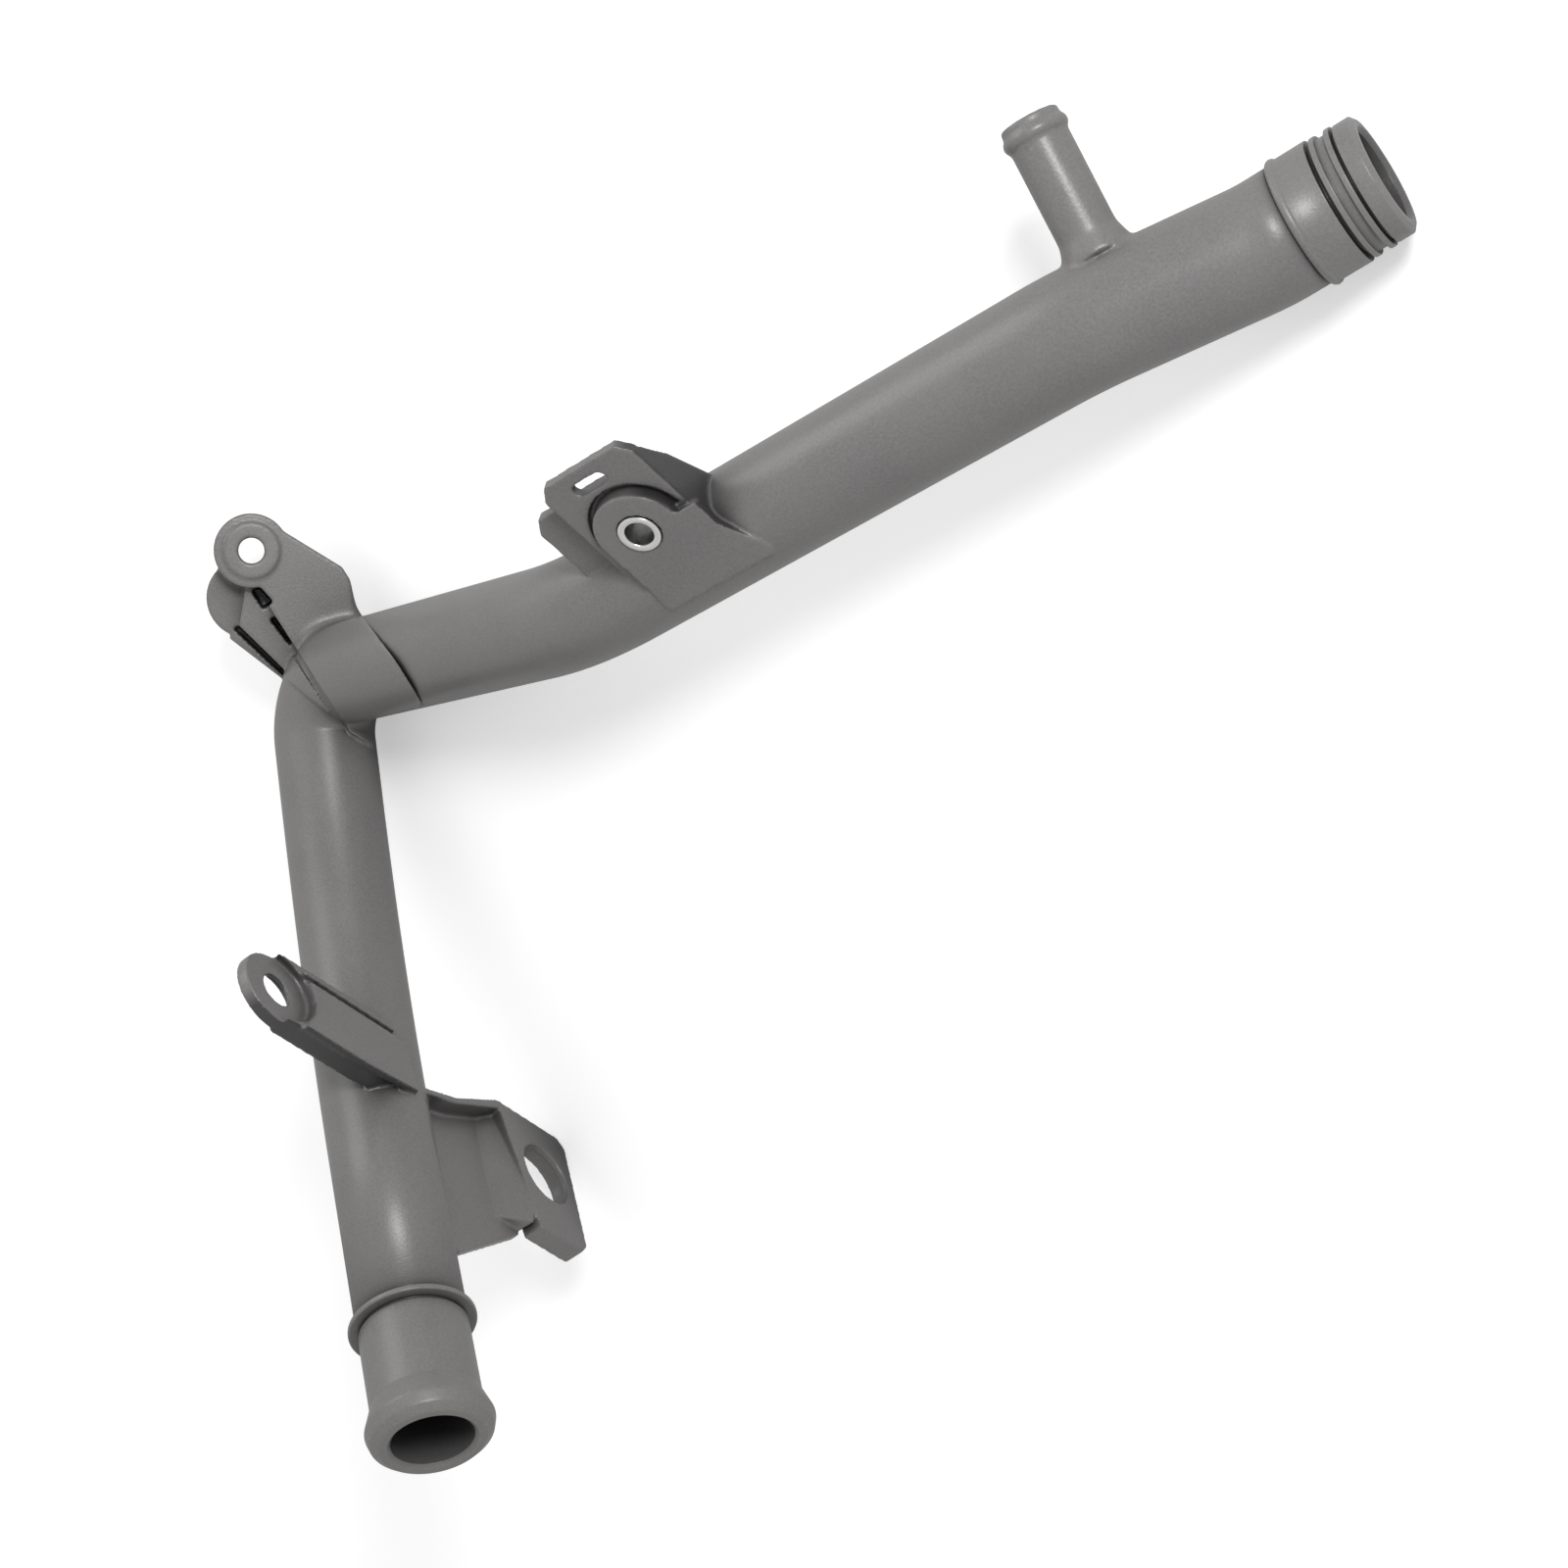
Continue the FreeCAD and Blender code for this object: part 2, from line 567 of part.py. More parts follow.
bush_hole = peg("bush_hole", pad_frame, pad_bolt, past, size("pad_boss_depth") + past * 2, size("bush_radius"))
slot_run = size("slot_length") - size("slot_width")
slot_depth = size("pad_step") + size("pad_plate") + past
slot_block = make("Part::Box", "slot_block",
                  on_plate(pad_frame, size("slot_x") - slot_run / 2, size("slot_y") - size("slot_width") / 2,
                           -slot_depth),
                  Length=slot_run, Width=size("slot_width"), Height=slot_depth)
slot_ends = [peg(f"slot_end_{side}", pad_frame, (size("slot_x") + slot_run / way, size("slot_y")), none,
                 slot_depth, size("slot_width") / 2)
             for side, way in (("inner", -2), ("outer", 2))]

# the gusset stands square to the plate, along its outer edge
pad_across = pad_frame.Rotation.multVec(Vector(0, 1, 0))
gusset_frame = facing(pad_frame.multVec(Vector(mm("pad_right"), 0, 0)), arm_main, pad_across)
gusset = plate("gusset", gusset_frame, [
    (none, -size("pad_step")),
    (size("pad_top") - size("pad_corner_y"), -size("pad_step")),
    (size("pad_top") - size("pad_corner_y"), -size("pad_step") - past),
    (size("tube_radius"), -size("gusset_drop")),
    (none, -size("gusset_drop")),
], size("gusset_thickness"))
buttress = plate("buttress", pad_frame, [
    (size("buttress_left") - into_tube, into_tube),
    (size("pad_right"), into_tube),
    (size("pad_right"), size("buttress_top") - size("pad_corner_y")),
    (size("pad_bolt_x"), size("buttress_top")),
    (size("buttress_shoulder"), size("buttress_top")),
    (size("buttress_left"), size("tube_radius") + size("buttress_below")),
], size("buttress_thickness"), size("buttress_below"))

# bracket on the leg: a walled blade, a ledge that curves on to a thick tab, and a web behind
flange_face = beside(leg_low, mm("flange_clock"))
flange_frame = facing(leg_corner + flange_face * face_height, flange_face, leg_low)
blade_bolt = (size("blade_top") / 2 + size("blade_bottom") / 2, size("blade_bolt_y"))
blade_end_radius = size("blade_bottom") / 2 - size("blade_top") / 2
wall_depth = size("flange_depth") + past
blade = plate("blade", flange_frame, [
    (size("blade_top"), size("blade_bolt_y")),
    (size("blade_root"), size("ledge_root_y")),
    (size("ledge_root"), size("ledge_root_y")),
    (size("blade_bottom"), -size("blade_waist")),
    (size("blade_bottom"), size("blade_bolt_y")),
], size("blade_skin"))
blade_end = peg("blade_end", flange_frame, blade_bolt, -size("blade_seat_depth"),
                size("flange_depth") - size("blade_seat_depth"), blade_end_radius)
blade_seat = peg("blade_seat", flange_frame, blade_bolt, past, size("blade_seat_depth") + past,
                 size("blade_seat_radius"))
blade_recess = peg("blade_recess", flange_frame, blade_bolt, -size("blade_seat_depth") - size("blade_lip"),
                   size("flange_depth"), size("blade_lip_radius"))
blade_hole = peg("blade_hole", flange_frame, blade_bolt, past, size("flange_depth") * 2,
                 size("blade_bolt_radius"))
upper_wall = plate("upper_wall", flange_frame, [
    (size("blade_top"), size("blade_bolt_y")),
    (size("blade_root"), none),
    (size("blade_root") + size("flange_wall"), none),
    (size("blade_top") + size("flange_wall"), size("blade_bolt_y")),
], size("flange_depth"))
ledge = plate("ledge", flange_frame, [
    (size("blade_bottom") - size("flange_wall"), size("blade_bolt_y")),
    (size("blade_bottom") - size("flange_wall"), -size("blade_waist")),
    (size("ledge_root") - size("flange_wall"), size("ledge_root_y")),
    (size("ledge_middle") - size("flange_wall"), size("ledge_middle_y")),
    (size("tab_top"), size("tab_inner")),
    (size("tab_top") + size("flange_wall"), size("tab_inner") + size("flange_wall")),
    (size("ledge_middle"), size("ledge_middle_y")),
    (size("ledge_root"), size("ledge_root_y")),
    (size("blade_bottom"), -size("blade_waist")),
    (size("blade_bottom"), size("blade_bolt_y")),
], wall_depth)
tab = plate("tab", flange_frame, [
    (size("tab_top"), size("tab_inner")),
    (size("tab_top"), size("tab_outer") - size("tab_corner")),
    (size("tab_top") + size("tab_corner"), size("tab_outer")),
    (size("tab_bottom") - size("tab_corner"), size("tab_outer")),
    (size("tab_bottom"), size("tab_outer") - size("tab_corner")),
    (size("tab_bottom"), size("tab_waist_y") + size("tab_corner")),
    (size("tab_waist_x"), size("tab_waist_y")),
], size("tab_plate"))
web = plate("web", flange_frame, [
    (size("ledge_root"), -into_tube / 2),
    (size("ledge_middle"), size("ledge_middle_y")),
    (size("tab_top") + size("flange_wall"), size("tab_inner")),
    (size("tab_top") + size("flange_wall"), size("web_outer")),
    (size("tab_bottom"), size("web_outer")),
    (size("web_bottom"), size("web_bottom_y")),
    (size("web_bottom"), -into_tube / 2),
], size("web_thickness"), size("flange_depth"))
tab_hole = peg("tab_hole", flange_frame, (size("tab_hole_x"), size("tab_hole_y")), past,
               size("flange_depth") * 2, size("tab_hole_radius"))


def joined(first, *others):
    """Joins solids one after another into one."""
    whole = first
    for piece in others:
        step = doc.addObject("Part::Fuse", f"with_{piece.Name}")
        step.Base = whole
        step.Tool = piece
        whole = step
    return whole


# one moulding: everything solid is joined, then the ways through it are cut
solid = joined(
    skin, spigot, stop_bead, hose_end, hose_bead, collar, stub, stub_bead, stub_foot,
    ear_front, ear_middle, ear_back, ear_lobe, ear_boss, ear_pad,
    pad_plate, pad_boss, pad_skirt, gusset, buttress, blade, blade_end, upper_wall, ledge, tab, web,
)
ways = doc.addObject("Part::MultiFuse", "ways")
ways.Shapes = [
    bore, stub_bore, *chamfers, ear_hole, ear_notch, ear_groove, ear_long_groove, ear_hollow,
    bush_hole, slot_block, *slot_ends, blade_seat, blade_hole, blade_recess, tab_hole,
]
pipe_body = doc.addObject("Part::Cut", "pipe_body")
pipe_body.Base = solid
pipe_body.Tool = ways

# the metal bush that takes the bolt's load
bush_length = size("pad_boss_depth") + size("bush_proud")
bush_blank = peg("bush_blank", pad_frame, pad_bolt, size("bush_proud"), bush_length, size("bush_radius"))
bush_bore = peg("bush_bore", pad_frame, pad_bolt, size("bush_proud") + past, bush_length + past * 2,
                size("bush_bore_radius"))
bush = doc.addObject("Part::Cut", "bush")
bush.Base = bush_blank
bush.Tool = bush_bore
doc.recompute()

# the finished pipe lies on the floor, centred over the origin
pitched = Rotation(Vector(0, 1, 0), mm("rest_pitch"))
rolled = Rotation(Vector(1, 0, 0), mm("rest_roll"))
lying = Placement(Vector(), pitched * rolled)
pipe_body.Placement = lying
doc.recompute()
box = pipe_body.Shape.optimalBoundingBox()
home = Placement(Vector(-box.Center.x, -box.Center.y, -box.ZMin), Rotation())
nodes = {"pipe_body": pipe_body, "bush": bush}
for name, node in nodes.items():
    node.Label = name
    node.Placement = home * lying
doc.recompute()

for part in doc.Objects:
    if {"Invalid", "Error"} & set(part.State):
        raise RuntimeError(f"{part.Name} failed: {part.State}")
for name, node in nodes.items():
    if node.Shape.isNull() or not node.Shape.isValid():
        raise RuntimeError(f"{name} has no valid shape")

os.makedirs("parts", exist_ok=True)
for name, node in nodes.items():
    node.Shape.exportStep(f"parts/{name}.step")
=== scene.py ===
"""Studio picture of a moulded coolant pipe that lies on a pale floor.

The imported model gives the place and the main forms. The tube, its rings and the stub are drawn again as
fine turned and swept shapes. The brackets are copied, carved and joined with fine shapes, and their edges
are softened. Blender works in metres; the pipe's own sizes are written in millimetres, in the frame in which
it was laid out.
"""

import math

import bmesh
import bpy
from mathutils import Matrix, Vector, kdtree


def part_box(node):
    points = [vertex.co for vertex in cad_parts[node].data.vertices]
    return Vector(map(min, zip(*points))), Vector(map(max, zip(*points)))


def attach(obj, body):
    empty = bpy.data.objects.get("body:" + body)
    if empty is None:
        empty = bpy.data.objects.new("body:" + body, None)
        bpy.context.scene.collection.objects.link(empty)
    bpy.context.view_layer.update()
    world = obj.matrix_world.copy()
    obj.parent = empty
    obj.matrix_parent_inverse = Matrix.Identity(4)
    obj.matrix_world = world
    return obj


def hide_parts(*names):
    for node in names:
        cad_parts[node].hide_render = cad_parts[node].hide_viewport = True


MM = 0.001
SIDEWAYS = Matrix(((0, 0, 1, 0), (1, 0, 0, 0), (0, 1, 0, 0), (0, 0, 0, 1)))

# the tube: its outside, its bore, and the radius within its wall at which the brackets' own skins stop
TUBE_RADIUS, BORE_RADIUS, SKIN_RADIUS = 17.5, 12.8, 15.2

# the tube's route: run, heading and climb of each stretch, then the radii of the bends between them
ARM_LOW = (163.9, -10.4, 6.7)
ARM_MAIN = (192.2, 8.1, -2.0)
ARM_HIGH = (54.6, 15.9, -19.6)
SPIGOT = (36.2, 17.0, -10.0)
LEG_TOP = (110.7, -89.2, -11.7)
LEG_LOW = (184.4, -63.1, 7.1)
SPIGOT_BEND, STUB_BEND, SWEEP_BEND, ELBOW_BEND, LEG_BEND = 50.0, 60.0, 120.0, 19.5, 255.0

# how the pipe is turned as it lies on the floor, in degrees
REST_ROLL, REST_PITCH = -27.739, -2.607

# the spigot: how far from its rim each ring starts, then the radii
MOUTH_CHAMFER, TUCK, FUNNEL = 1.2, 0.6, 1.5
RIM_ROUND, NOSE_END, FIRST_RIB, GROOVE, SECOND_RIB = 1.2, 5.7, 6.6, 8.2, 11.0
RELIEF, LAND, STOP_BEAD, STOP_BEAD_ROUND = 12.6, 13.8, 24.2, 1.5
RIM_RADIUS, NOSE_RADIUS, SLIT_RADIUS, RIB_RADIUS = 15.8, 17.4, 15.4, 17.8
GROOVE_RADIUS, LAND_RADIUS, STOP_BEAD_RADIUS = 16.7, 18.1, 18.8

# the hose end: how far from its mouth each form starts, then the radii
HOSE_SHOULDER, HOSE_CREST, HOSE_SLOPE_END = 2.2, 6.0, 14.0
HOSE_UNDERCUT, HOSE_COLLAR, HOSE_LENGTH, HOSE_TAIL = 40.9, 42.2, 42.6, 45.8
HOSE_LIP_RADIUS, HOSE_SHOULDER_RADIUS, HOSE_CREST_RADIUS = 16.4, 19.0, 20.1
BARREL_RADIUS, UNDERCUT_RADIUS, COLLAR_RADIUS, COLLAR_WIDTH = 17.3, 16.2, 20.2, 1.7

# the heater stub: where it leaves the arm, how it is turned and how far it reaches
STUB_PLACE, STUB_CLOCK, STUB_LEAN, STUB_REACH = 14.7, 145.6, 4.3, 57.3
STUB_RADIUS, STUB_BORE = 8.5, 5.8
STUB_BEAD_RADIUS, STUB_BEAD_ROUND, STUB_BEAD_PLACE = 9.6, 2.4, 4.5
STUB_FOOT, STUB_FOOT_HEIGHT, STUB_FOOT_ROUND = 15.9, 5.0, 3.0
STUB_SINK, STUB_LENGTH_OF_ARM, STUB_BLEND_REACH = 1.6, 21.0, 19.0

# the three brackets: which way each face looks, then its round parts, placed in that face
FACE_RISE = 0.5
EAR_WAY, EAR_ALONG = (-29.1, 30.8), (95.0, 43.3)
EAR_BOLT, EAR_BOSS, EAR_DEPTH, EAR_BORE = (50.5, -5.0), 12.8, 20.0, 4.5
EAR_PAD_RADIUS, EAR_PAD_RISE, EAR_PLATE = 9.6, 1.0, 6.0
PAD_CLOCK, PAD_BOLT, PAD_BOSS, PAD_BOSS_DEPTH = 21.7, (53.3, 23.8), 14.0, 12.0
BUSH_RADIUS, BUSH_BORE, BUSH_PROUD = 6.5, 4.3, 0.6
FLANGE_CLOCK, FLANGE_DEPTH = -167.0, 7.5
BLADE_BOLT, BLADE_END, BLADE_SEAT = (47.2, -62.3), 14.0, 3.0

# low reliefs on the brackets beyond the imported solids, in each bracket's own face
SADDLE_SHIFT, SADDLE_BAND, SADDLE_START, SADDLE_FLOOR = 2.8, (-24.9, 0.3), 26.0, -16.0
SADDLE_END = ((-8.0, 6.0), (-29.0, -4.0))
SADDLE_ARM, SADDLE_LEG = 104.0, 62.0
FOLD_BAND, FOLD_MIDDLE, FOLD_REACH = (-27.0, -1.5), 13.0, 11.0
RAIL_SHIFT, RAIL_INNER, RAIL_EDGE = 2.2, 2.6, ((-11.0, 2.6), (26.0, 15.0))
BLADE_RISE = 1.8
BLADE_FACE = ((39.9, -4.2), (60.2, -1.5), (62.2, -27), (62.2, -56), (57.5, -53), (53, -49.6),
              (47.2, -48.4), (41.5, -49.6), (39.9, -50.6))
BLADE_RIM = ((36.6, -9.0), (38.2, -9.0), (38.2, -51.9), (36.6, -53.2))
TAB_SLOPE = ((41.0, -7.8), (55.5, -0.8), (55.5, -7.8))
TAB_SLOPE_RUN = (41.0, 85.0)
TAB_HOLE, TAB_RELIEF_RADIUS, TAB_LIP = (58.9, 67.7), 12.6, 2.5
MOAT_WIDTH, MOAT_TOP, MOAT_FLOOR = 1.7, -2.0, -5.4
GUSSET_EDGE = ((10, -3.4), (45.8, -3.4), (44, -7.5), (34.5, -13.8), (17.5, -21), (10, -21))
GUSSET_SIDE = (69.4, 71.3)

# the bracket walls that get painted shade: a place on each, and how far round it
GUSSET_SPOT, GUSSET_REACH = (71, 28, -8), 24
BLADE_SPOT, BLADE_REACH = (61, -30, -3), 46

# the camera, in the frame in which the pipe is laid out
EYE = Vector((776.48, -392.78, 561.35))
EYE_BACK = Vector((0.6535, -0.3520, 0.6701))
EYE_UP = Vector((0.2414, 0.9360, 0.2562))
LENS, SENSOR = 66.74, 36.0

# light: brightness of the surroundings, and each lamp's width in metres and power in watts
HIGH_LIGHT = (-0.40, 0.45, 0.80)
SURROUNDINGS = 0.64
HIGH_WIDTH, HIGH_POWER = 0.7, 2.5
FRONT_WIDTH, FRONT_POWER = 0.32, 8


def heading(turn, climb):
    """A unit vector from a heading, turned from +X, and a climb towards +Z, in degrees."""
    turn, climb = math.radians(turn), math.radians(climb)
    return Vector((math.cos(climb) * math.cos(turn), math.cos(climb) * math.sin(turn), math.sin(climb)))


def beside(along, clock):
    """The direction square to a run, turned round it from its outer side by `clock` degrees."""
    side = along.cross(Vector((0, 0, 1))).normalized()
    angle = math.radians(clock)
    return side * math.cos(angle) + side.cross(along) * math.sin(angle)


def facing(origin, normal, along):
    """A matrix with Z along the normal and X near the direction `along`."""
    z = normal.normalized()
    x = (along - z * along.dot(z)).normalized()
    y = z.cross(x)
    return Matrix.Translation(origin) @ Matrix((x, y, z)).transposed().to_4x4()


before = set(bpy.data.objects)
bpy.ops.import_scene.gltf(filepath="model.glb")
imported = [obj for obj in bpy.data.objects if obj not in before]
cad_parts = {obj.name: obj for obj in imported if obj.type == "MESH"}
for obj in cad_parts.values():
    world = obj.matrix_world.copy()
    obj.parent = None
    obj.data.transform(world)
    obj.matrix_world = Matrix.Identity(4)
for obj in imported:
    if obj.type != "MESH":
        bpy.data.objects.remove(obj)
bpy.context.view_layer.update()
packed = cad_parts["pipe_body"]

# the route's corners in the layout frame
arm_low, arm_main, arm_high = heading(*ARM_LOW[1:]), heading(*ARM_MAIN[1:]), heading(*ARM_HIGH[1:])
spigot_way, leg_top, leg_low = heading(*SPIGOT[1:]), heading(*LEG_TOP[1:]), heading(*LEG_LOW[1:])
elbow = Vector((0, 0, 0))
sweep_corner = elbow + arm_low * ARM_LOW[0]
stub_corner = sweep_corner + arm_main * ARM_MAIN[0]
spigot_corner = stub_corner + arm_high * ARM_HIGH[0]
rim = spigot_corner + spigot_way * SPIGOT[0]
leg_corner = elbow + leg_top * LEG_TOP[0]
mouth = leg_corner + leg_low * LEG_LOW[0]

face_height = TUBE_RADIUS + FACE_RISE
ear_way = heading(*EAR_WAY)
pad_way = beside(arm_main, PAD_CLOCK)
flange_way = beside(leg_low, FLANGE_CLOCK)
ear_frame = facing(elbow + ear_way * face_height, ear_way, heading(*EAR_ALONG))
pad_frame = facing(sweep_corner + pad_way * face_height, pad_way, arm_main)
flange_frame = facing(leg_corner + flange_way * face_height, flange_way, leg_low)

# from the layout frame to the floor: turned as it lies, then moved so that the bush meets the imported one
pitch = Matrix.Rotation(math.radians(REST_PITCH), 4, "Y")
lying = pitch @ Matrix.Rotation(math.radians(REST_ROLL), 4, "X")
bush_middle = pad_frame @ Vector((*PAD_BOLT, (BUSH_PROUD - PAD_BOSS_DEPTH) / 2))
bush_low, bush_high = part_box("bush")
home = (bush_low + bush_high) / 2 - (lying @ bush_middle) * MM
to_floor = Matrix.Translation(home) @ lying @ Matrix.Scale(MM, 4)


def rounded_route(points, radii, turn_step=4.0):
    """Points along straight runs joined by tangent arcs, with one point per `turn_step` degrees of turn."""
    route = [points[0]]
    for before, corner, after, radius in zip(points, points[1:], points[2:], radii):
        come, leave = (corner - before).normalized(), (after - corner).normalized()
        turn = come.angle(leave)
        reach = radius * math.tan(turn / 2)
        centre = corner + (leave - come).normalized() * (radius / math.cos(turn / 2))
        spoke = corner - come * reach - centre
        axis = come.cross(leave).normalized()
        steps = max(2, math.ceil(math.degrees(turn) / turn_step))
        route += [centre + Matrix.Rotation(turn * n / steps, 3, axis) @ spoke for n in range(steps + 1)]
    return route + [points[-1]]


def fine_line(route, step):
    """The same line with points no further apart than `step`."""
    out = [route[0]]
    for start, end in zip(route, route[1:]):
        count = max(1, math.ceil((end - start).length / step))
        out += [start.lerp(end, k / count) for k in range(1, count + 1)]
    return out


def new_object(name, mesh_data):
    """An object in the scene that shows a mesh."""
    piece = bpy.data.objects.new(name, mesh_data)
    bpy.context.scene.collection.objects.link(piece)
    return piece


def finished(name, bm, place):
    """A mesh object from a bmesh in millimetres: placed, closed, facing outwards and smooth."""
    bmesh.ops.remove_doubles(bm, verts=bm.verts, dist=1e-4)
    bmesh.ops.transform(bm, matrix=place, verts=bm.verts)
    bmesh.ops.recalc_face_normals(bm, faces=bm.faces)
    mesh = bpy.data.meshes.new(name)
    bm.to_mesh(mesh)
    bm.free()
    mesh.shade_smooth()
    return new_object(name, mesh)


def add_grid(bm, rings):
    """Joins rings of points into a closed skin, the last ring to the first."""
    rows = [[bm.verts.new(point) for point in ring] for ring in rings]
    for row, following in zip(rows, rows[1:] + rows[:1]):
        for n in range(len(row)):
            m = (n + 1) % len(row)
            bm.faces.new((row[n], row[m], following[m], following[n]))


def sweep_tree():
    """Geometry Nodes: an outer and an inner skin swept along the route that is the piece's own mesh."""
    tree = bpy.data.node_groups.new("pipe along a route", "GeometryNodeTree")
    sockets = tree.interface
    sockets.new_socket("Route", in_out="INPUT", socket_type="NodeSocketGeometry")
    sockets.new_socket("Outer radius", in_out="INPUT", socket_type="NodeSocketFloat")
    sockets.new_socket("Bore radius", in_out="INPUT", socket_type="NodeSocketFloat")
    sockets.new_socket("Sides", in_out="INPUT", socket_type="NodeSocketInt")
    sockets.new_socket("Finish", in_out="INPUT", socket_type="NodeSocketMaterial")
    sockets.new_socket("Pipe", in_out="OUTPUT", socket_type="NodeSocketGeometry")
    given = node(tree, "NodeGroupInput")
    line = node(tree, "GeometryNodeMeshToCurve")
    both = node(tree, "GeometryNodeJoinGeometry")
    real = node(tree, "GeometryNodeRealizeInstances")
    finish = node(tree, "GeometryNodeSetMaterial")
    done = node(tree, "NodeGroupOutput")
    tree.links.new(given.outputs["Route"], line.inputs["Mesh"])
    for radius in ("Outer radius", "Bore radius"):
        ring = node(tree, "GeometryNodeCurvePrimitiveCircle")
        skin = node(tree, "GeometryNodeCurveToMesh")
        tree.links.new(given.outputs["Sides"], ring.inputs["Resolution"])
        tree.links.new(given.outputs[radius], ring.inputs["Radius"])
        tree.links.new(line.outputs["Curve"], skin.inputs["Curve"])
        tree.links.new(ring.outputs["Curve"], skin.inputs["Profile Curve"])
        tree.links.new(skin.outputs["Mesh"], both.inputs["Geometry"])
    tree.links.new(both.outputs["Geometry"], real.inputs["Geometry"])
    tree.links.new(real.outputs["Geometry"], finish.inputs["Geometry"])
    tree.links.new(given.outputs["Finish"], finish.inputs["Material"])
    tree.links.new(finish.outputs["Geometry"], done.inputs["Pipe"])
    return tree


def swept(tree, route, outer, inner, sides=128):
    """A pipe wall along a route, closed at both ends, as a bmesh in the layout frame."""
    line = bpy.data.meshes.new("route")
    line.from_pydata([tuple(p) for p in route], [(n, n + 1) for n in range(len(route) - 1)], [])
    holder = new_object("route", line)
    sweep = holder.modifiers.new("sweep", "NODES")
    sweep.node_group = tree
    given = {item.name: item.identifier for item in tree.interface.items_tree if item.in_out == "INPUT"}
    sweep[given["Outer radius"]] = float(outer)
    sweep[given["Bore radius"]] = float(inner)
    sweep[given["Sides"]] = sides
    sweep[given["Finish"]] = body_material
    bpy.context.view_layer.update()
    result = bpy.data.meshes.new_from_object(holder.evaluated_get(bpy.context.evaluated_depsgraph_get()))
    holder.modifiers.clear()
    bm = bmesh.new()
    bm.from_mesh(result)
    for end in (route[0], route[-1]):
        rims = [e for e in bm.edges if e.is_boundary and (e.verts[0].co - end).length < outer * 1.2]
        bmesh.ops.bridge_loops(bm, edges=rims)
    bpy.data.objects.remove(holder)
    bpy.data.meshes.remove(line)
    bpy.data.meshes.remove(result)
    return bm


def add_to(bm, other):
    """Adds another bmesh to this one."""
    carrier = bpy.data.meshes.new("carrier")
    other.to_mesh(carrier)
    other.free()
    bm.from_mesh(carrier)
    bpy.data.meshes.remove(carrier)


def cut_by(bm, planes):
    """Cuts closed shells by planes (point, way out) and caps the cuts, and leaves passages open."""
    for point, outward in planes:
        everything = bm.verts[:] + bm.edges[:] + bm.faces[:]
        cut = bmesh.ops.bisect_plane(bm, geom=everything, dist=1e-4, plane_co=point, plane_no=outward,
                                     clear_outer=True)
        rim_edges = [e for e in cut["geom_cut"] if isinstance(e, bmesh.types.BMEdge)]
        if rim_edges:
            bmesh.ops.triangle_fill(bm, use_beauty=True, edges=rim_edges, normal=outward)


def add_prism(bm, place, outline, top, bottom):
    """A closed slab over an outline, between two heights of a bracket's face."""
    count = len(outline)
    upper = [bm.verts.new(place @ Vector((*p, top))) for p in outline]
    lower = [bm.verts.new(place @ Vector((*p, bottom))) for p in outline]
    bm.faces.new(upper)
    bm.faces.new(lower[::-1])
    for n in range(count):
        m = (n + 1) % count
        bm.faces.new((upper[n], lower[n], lower[m], upper[m]))


def soft_profile(corners, rounds, steps=4):
    """A closed outline whose corners are rounded off, each by its own radius."""
    out = []
    count = len(corners)
    for n, (corner, radius) in enumerate(zip(corners, rounds)):
        here = Vector(corner)
        come = here - Vector(corners[n - 1])
        leave = Vector(corners[(n + 1) % count]) - here
        turn = come.angle(leave) if come.length and leave.length else 0
        reach = radius * math.tan(turn / 2) if turn < math.radians(175) else 0
        reach = min(reach, come.length * 0.45, leave.length * 0.45)
        if reach < 1e-3:
            out.append(here)
            continue
        first, last = here - come.normalized() * reach, here + leave.normalized() * reach
        for k in range(steps + 1):
            t = k / steps
            out.append(first * (1 - t) ** 2 + here * 2 * t * (1 - t) + last * t ** 2)
    return out


def turned_rings(profile, around):
    """Rings about Z for an outline of (depth, radius)."""
    angles = [2 * math.pi * k / around for k in range(around)]
    return [[Vector((math.cos(a) * radius, math.sin(a) * radius, depth)) for a in angles]
            for depth, radius in profile]


def along_run(origin, way):
    """A matrix with Z along a run, for turned shapes."""
    return facing(origin, way, way.orthogonal())


def bulge(place, crest, section, foot, steps=10):
    """Points over a round bead, from one side of its foot to the other, as (depth, radius)."""
    middle = crest - section
    start = math.acos(min(1, (foot - middle) / section)) if foot > middle else math.pi / 2
    return [(place + section * math.sin(a), middle + section * math.cos(a))
            for a in (-start + 2 * start * k / steps for k in range(steps + 1))]


def simple(points):
    """The same points, left unrounded."""
    return [(p, 0.0) for p in points]


def build_profile(parts, steps=4):
    """The outline of a turned shape from pairs of a corner and its rounding."""
    return soft_profile([p for p, _ in parts], [r for _, r in parts], steps)


